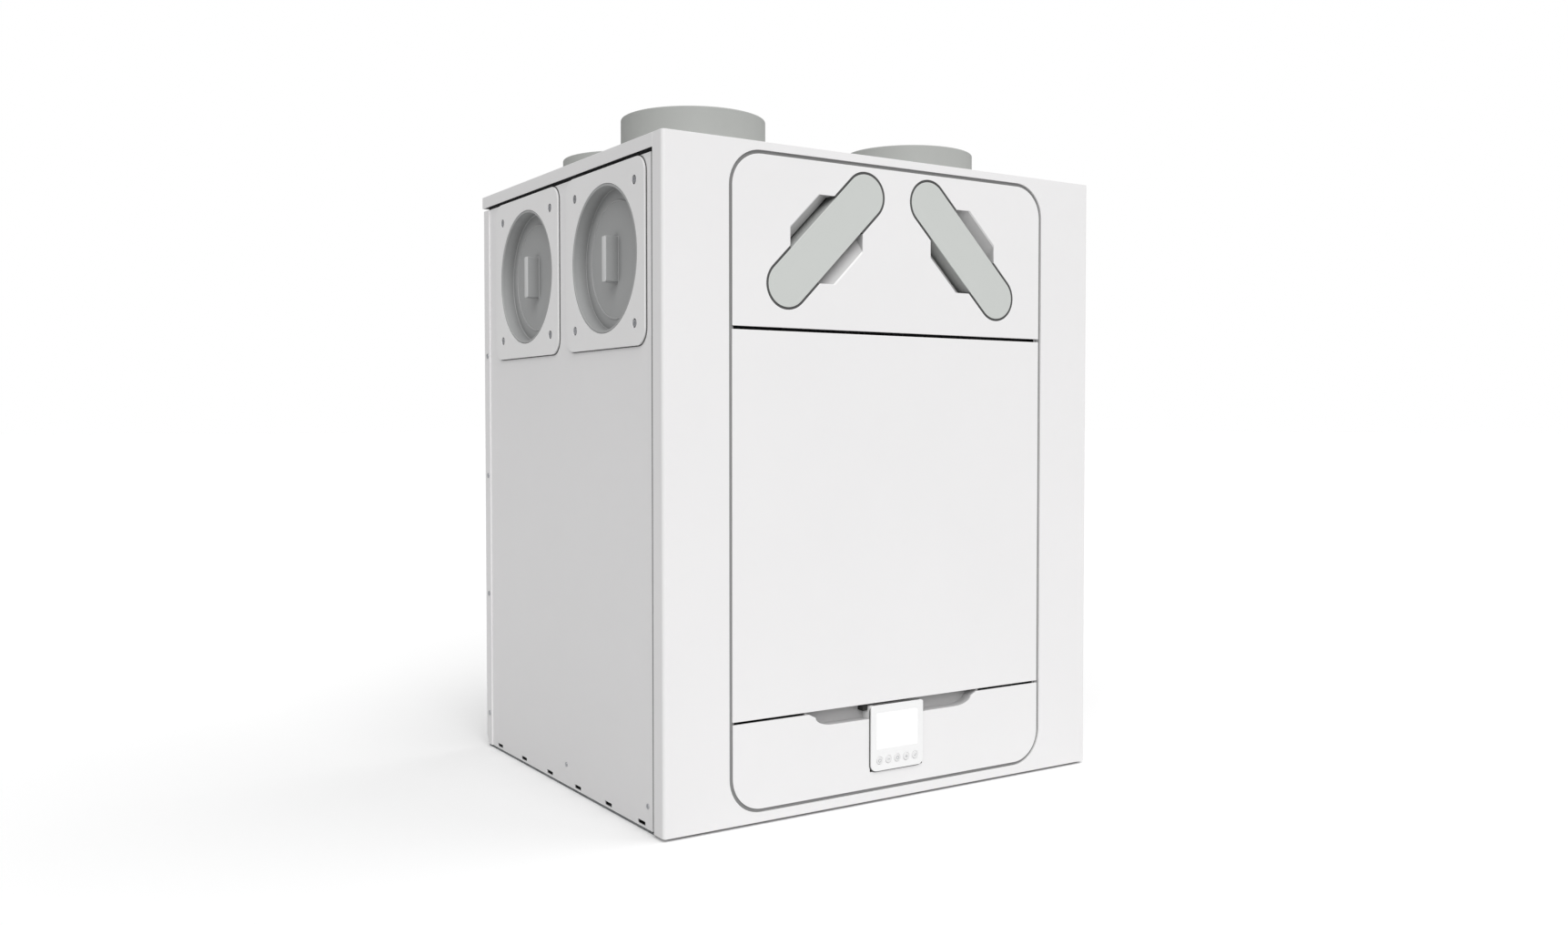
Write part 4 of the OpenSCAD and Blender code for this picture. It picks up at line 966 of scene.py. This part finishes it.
def exchanger_details():
    """Ribs on the exchanger's front plate and the stitches that hold its strap."""
    low, high = edges("exchanger_frame")
    half_w, half_h, side = (high.x - low.x) / 2, (high.z - low.z) / 2, EXCHANGER_SIDE
    corners = [(0, half_h), (-half_w, side), (-half_w, -side), (0, -half_h), (half_w, -side), (half_w, side)]
    at = facing((0, low.y, (low.z + high.z) / 2), (0, -1, 0))
    sunk, rise, spoke_half = -0.1, 1.6, 2.0
    ribs = Shape()
    for factor in (0.93, 0.62):
        outer, inner = (scaled(corners, size) for size in (factor, factor - 0.03))
        add_frame(ribs, outer, inner, sunk, rise, at)
    for start, end in zip(scaled(corners, 0.60), scaled(corners, 0.92)):
        ribs.band([start, end], -spoke_half, spoke_half, sunk, rise, at)
    ribs.finish("exchanger_ribs", "casing", "dark", smooth=False)
    stitches = Shape()
    low, high = edges("exchanger_strap")
    patch, hem = 11.0, 1.5
    foot, head = low.z + 2, high.z - 2
    for x0 in (low.x + hem, high.x - hem - patch):
        x1 = x0 + patch
        a, b, c, d = (x0, foot), (x1, foot), (x1, head), (x0, head)
        for start, end in ((a, b), (b, c), (c, d), (d, a), (a, c), (b, d)):
            dashes(stitches, start, end, low.y - 0.05)
    stitches.finish("strap_stitches", "casing", "stitch")


def scaled(points, factor):
    return [(x * factor, z * factor) for x, z in points]


def dashes(shape, start, end, y, pitch=2.6, radius=0.22):
    """Short thread dashes between two (x, z) points."""
    a, b = Vector(start), Vector(end)
    count = max(1, int((b - a).length / pitch))
    for i in range(count):
        p = a.lerp(b, (i + 0.2) / count)
        q = a.lerp(b, (i + 0.8) / count)
        shape.rod([(p.x, y, p.y), (q.x, y, q.y)], radius, 5)


# ---------- inside ----------

def fan_details():
    """Spokes and guard rings in each fan's inlet, and screw posts round each scroll."""
    guards = Shape()
    posts = Shape()
    inlet_y, scroll_back = edges("fan_inlet_rings")[0].y, edges("fan_scrolls")[1].y
    wire_low, wire_high, wire, spoke_half = 1.0, 2.6, 1.6, 0.8
    post = [(4.5, -0.2), (4.5, 3.5), (3.8, 4.2), (1.8, 4.2), (1.8, 2.0)]
    post_reach = 78
    for name, _ in SIDES:
        middle = centre(f"impeller_{name}")
        at = facing((middle.x, inlet_y, middle.z), (0, 1, 0))
        for radius in (20.0, 36.0):
            guards.ring([(radius, wire_low), (radius + wire, wire_low), (radius + wire, wire_high),
                (radius, wire_high)], at, 48)
        for i in range(6):
            spin = at @ Matrix.Rotation(math.pi * i / 3, 4, "Z")
            guards.box((6, -spoke_half, wire_low), (54.5, spoke_half, wire_high), spin)
        guards.disc([(7.5, 0.6), (7.5, 2.6), (6.5, 3.2)], at, 24)
        for x, z in arc(post_reach, (20, 110, 200, 290)):
            posts.disc(post, facing((middle.x + x, scroll_back, middle.z + z), (0, 1, 0)), 20)
    guards.finish("fan_guards", "casing", "fan")
    posts.finish("fan_posts", "casing", "fan")


def board_details():
    """Chip legs, terminal screws and covers, and capacitor tops on the control board."""
    front = edges("control_board")[1].y - BOARD_SHEET
    metal = Shape()
    chip_w, leg_w, leg_pitch = 18.0, 1.5, 3
    for x in (-40, -14, 12):
        for z in range(48, 74, leg_pitch):
            for leg in (x - 1.6, x + chip_w + 0.1):
                metal.box((leg, front - 2.0, z), (leg + leg_w, front + 0.2, z + 1.2))
    terminal_pitch, terminal_z = 12, 48
    for x in range(66, 176, terminal_pitch):
        cross_screw(metal, facing((x, front - 12, terminal_z), (0, -1, 0)), 2.6)
    metal.finish("board_metal", "casing", "zinc", smooth=False)
    caps = Shape()
    sleeve = [(9.15, -21.5), (9.15, 0.1), (8.6, 0.7), (8.0, 0.5), (7.6, 0.1)]
    for x in (-118, -96, -74):
        caps.disc(sleeve, facing((x, front - 22, 62), (0, -1, 0)), 28)
    caps.finish("board_capacitors", "casing", "dark")
    blocks = Shape()
    for x in range(60, 172, terminal_pitch):
        blocks.box((x + 0.6, front - 13.2, 41), (x + 11.2, front - 11.8, 44.5), soft=0.3)
    blocks.finish("board_terminals", "casing", "display", smooth=False)


def tray_details():
    """A strainer in the drain and drip ribs on the condensate tray."""
    floor = edges("condensate_tray")[0].z
    drain = centre("drain_socket")
    at = upright(drain.x, drain.y, floor)
    strainer = Shape()
    strainer.ring([(6.0, 2.6), (9.5, 2.6), (9.5, 3.6), (6.0, 4.4)], at, 32)
    for turn in (0, 60, 120):
        spin = at @ Matrix.Rotation(math.radians(turn), 4, "Z")
        strainer.box((-6.5, -0.6, 2.9), (6.5, 0.6, 4.0), spin)
    strainer.finish("drain_strainer", "casing", "gland")
    ribs = Shape()
    rib_half, sunk, rise = 1.5, 2.4, 5.0
    for y in (-150, -80, -30, 30):
        for x0, x1 in ((-285, -90), (-30, -8), (8, 285)):
            ribs.box((x0, y - rib_half, floor + sunk), (x1, y + rib_half, floor + rise), soft=0.8)
    ribs.finish("tray_ribs", "casing", "dark")


def bypass_details():
    """Screws on the bypass actuator and ribs on the flap."""
    low, high = edges("bypass_actuator")
    inward, screw_radius = 5, 2.4
    screws = Shape()
    for x in (low.x + inward, high.x - inward):
        for z in (low.z + inward, high.z - inward):
            cross_screw(screws, facing((x, high.y, z), (0, 1, 0)), screw_radius)
    screws.finish("actuator_screws", "casing", "zinc")
    low, high = edges("bypass_flap")
    rib_half, sunk, rise = 1.2, 2.2, 5.4
    ribs = Shape()
    for y in (-150, -80, -10):
        ribs.box((low.x + 4, y - rib_half, low.z + sunk), (high.x - 12, y + rib_half, low.z + rise), soft=0.6)
    ribs.finish("flap_ribs", "bypass_flap", "aluminium")


# ---------- the scene ----------

add_camera()
add_floor(LIGHT["shown_floor"], LIGHT["bounce_floor"])
add_world(LIGHT["ambient"], LIGHT["backdrop"])
for sun in SUNS:
    add_sun(*sun)
bpy.context.scene.view_settings.view_transform = "Standard"

make_materials()
dress_nodes()
soften_nodes()
port_details()
joint_shade_strips()
cover_gap_shade()
rear_details()
spigot_details()
gland_details()
buffer_details()
key_glyphs()
display_details()
panel_details()
filter_details()
exchanger_details()
fan_details()
board_details()
tray_details()
bypass_details()
cap_details()
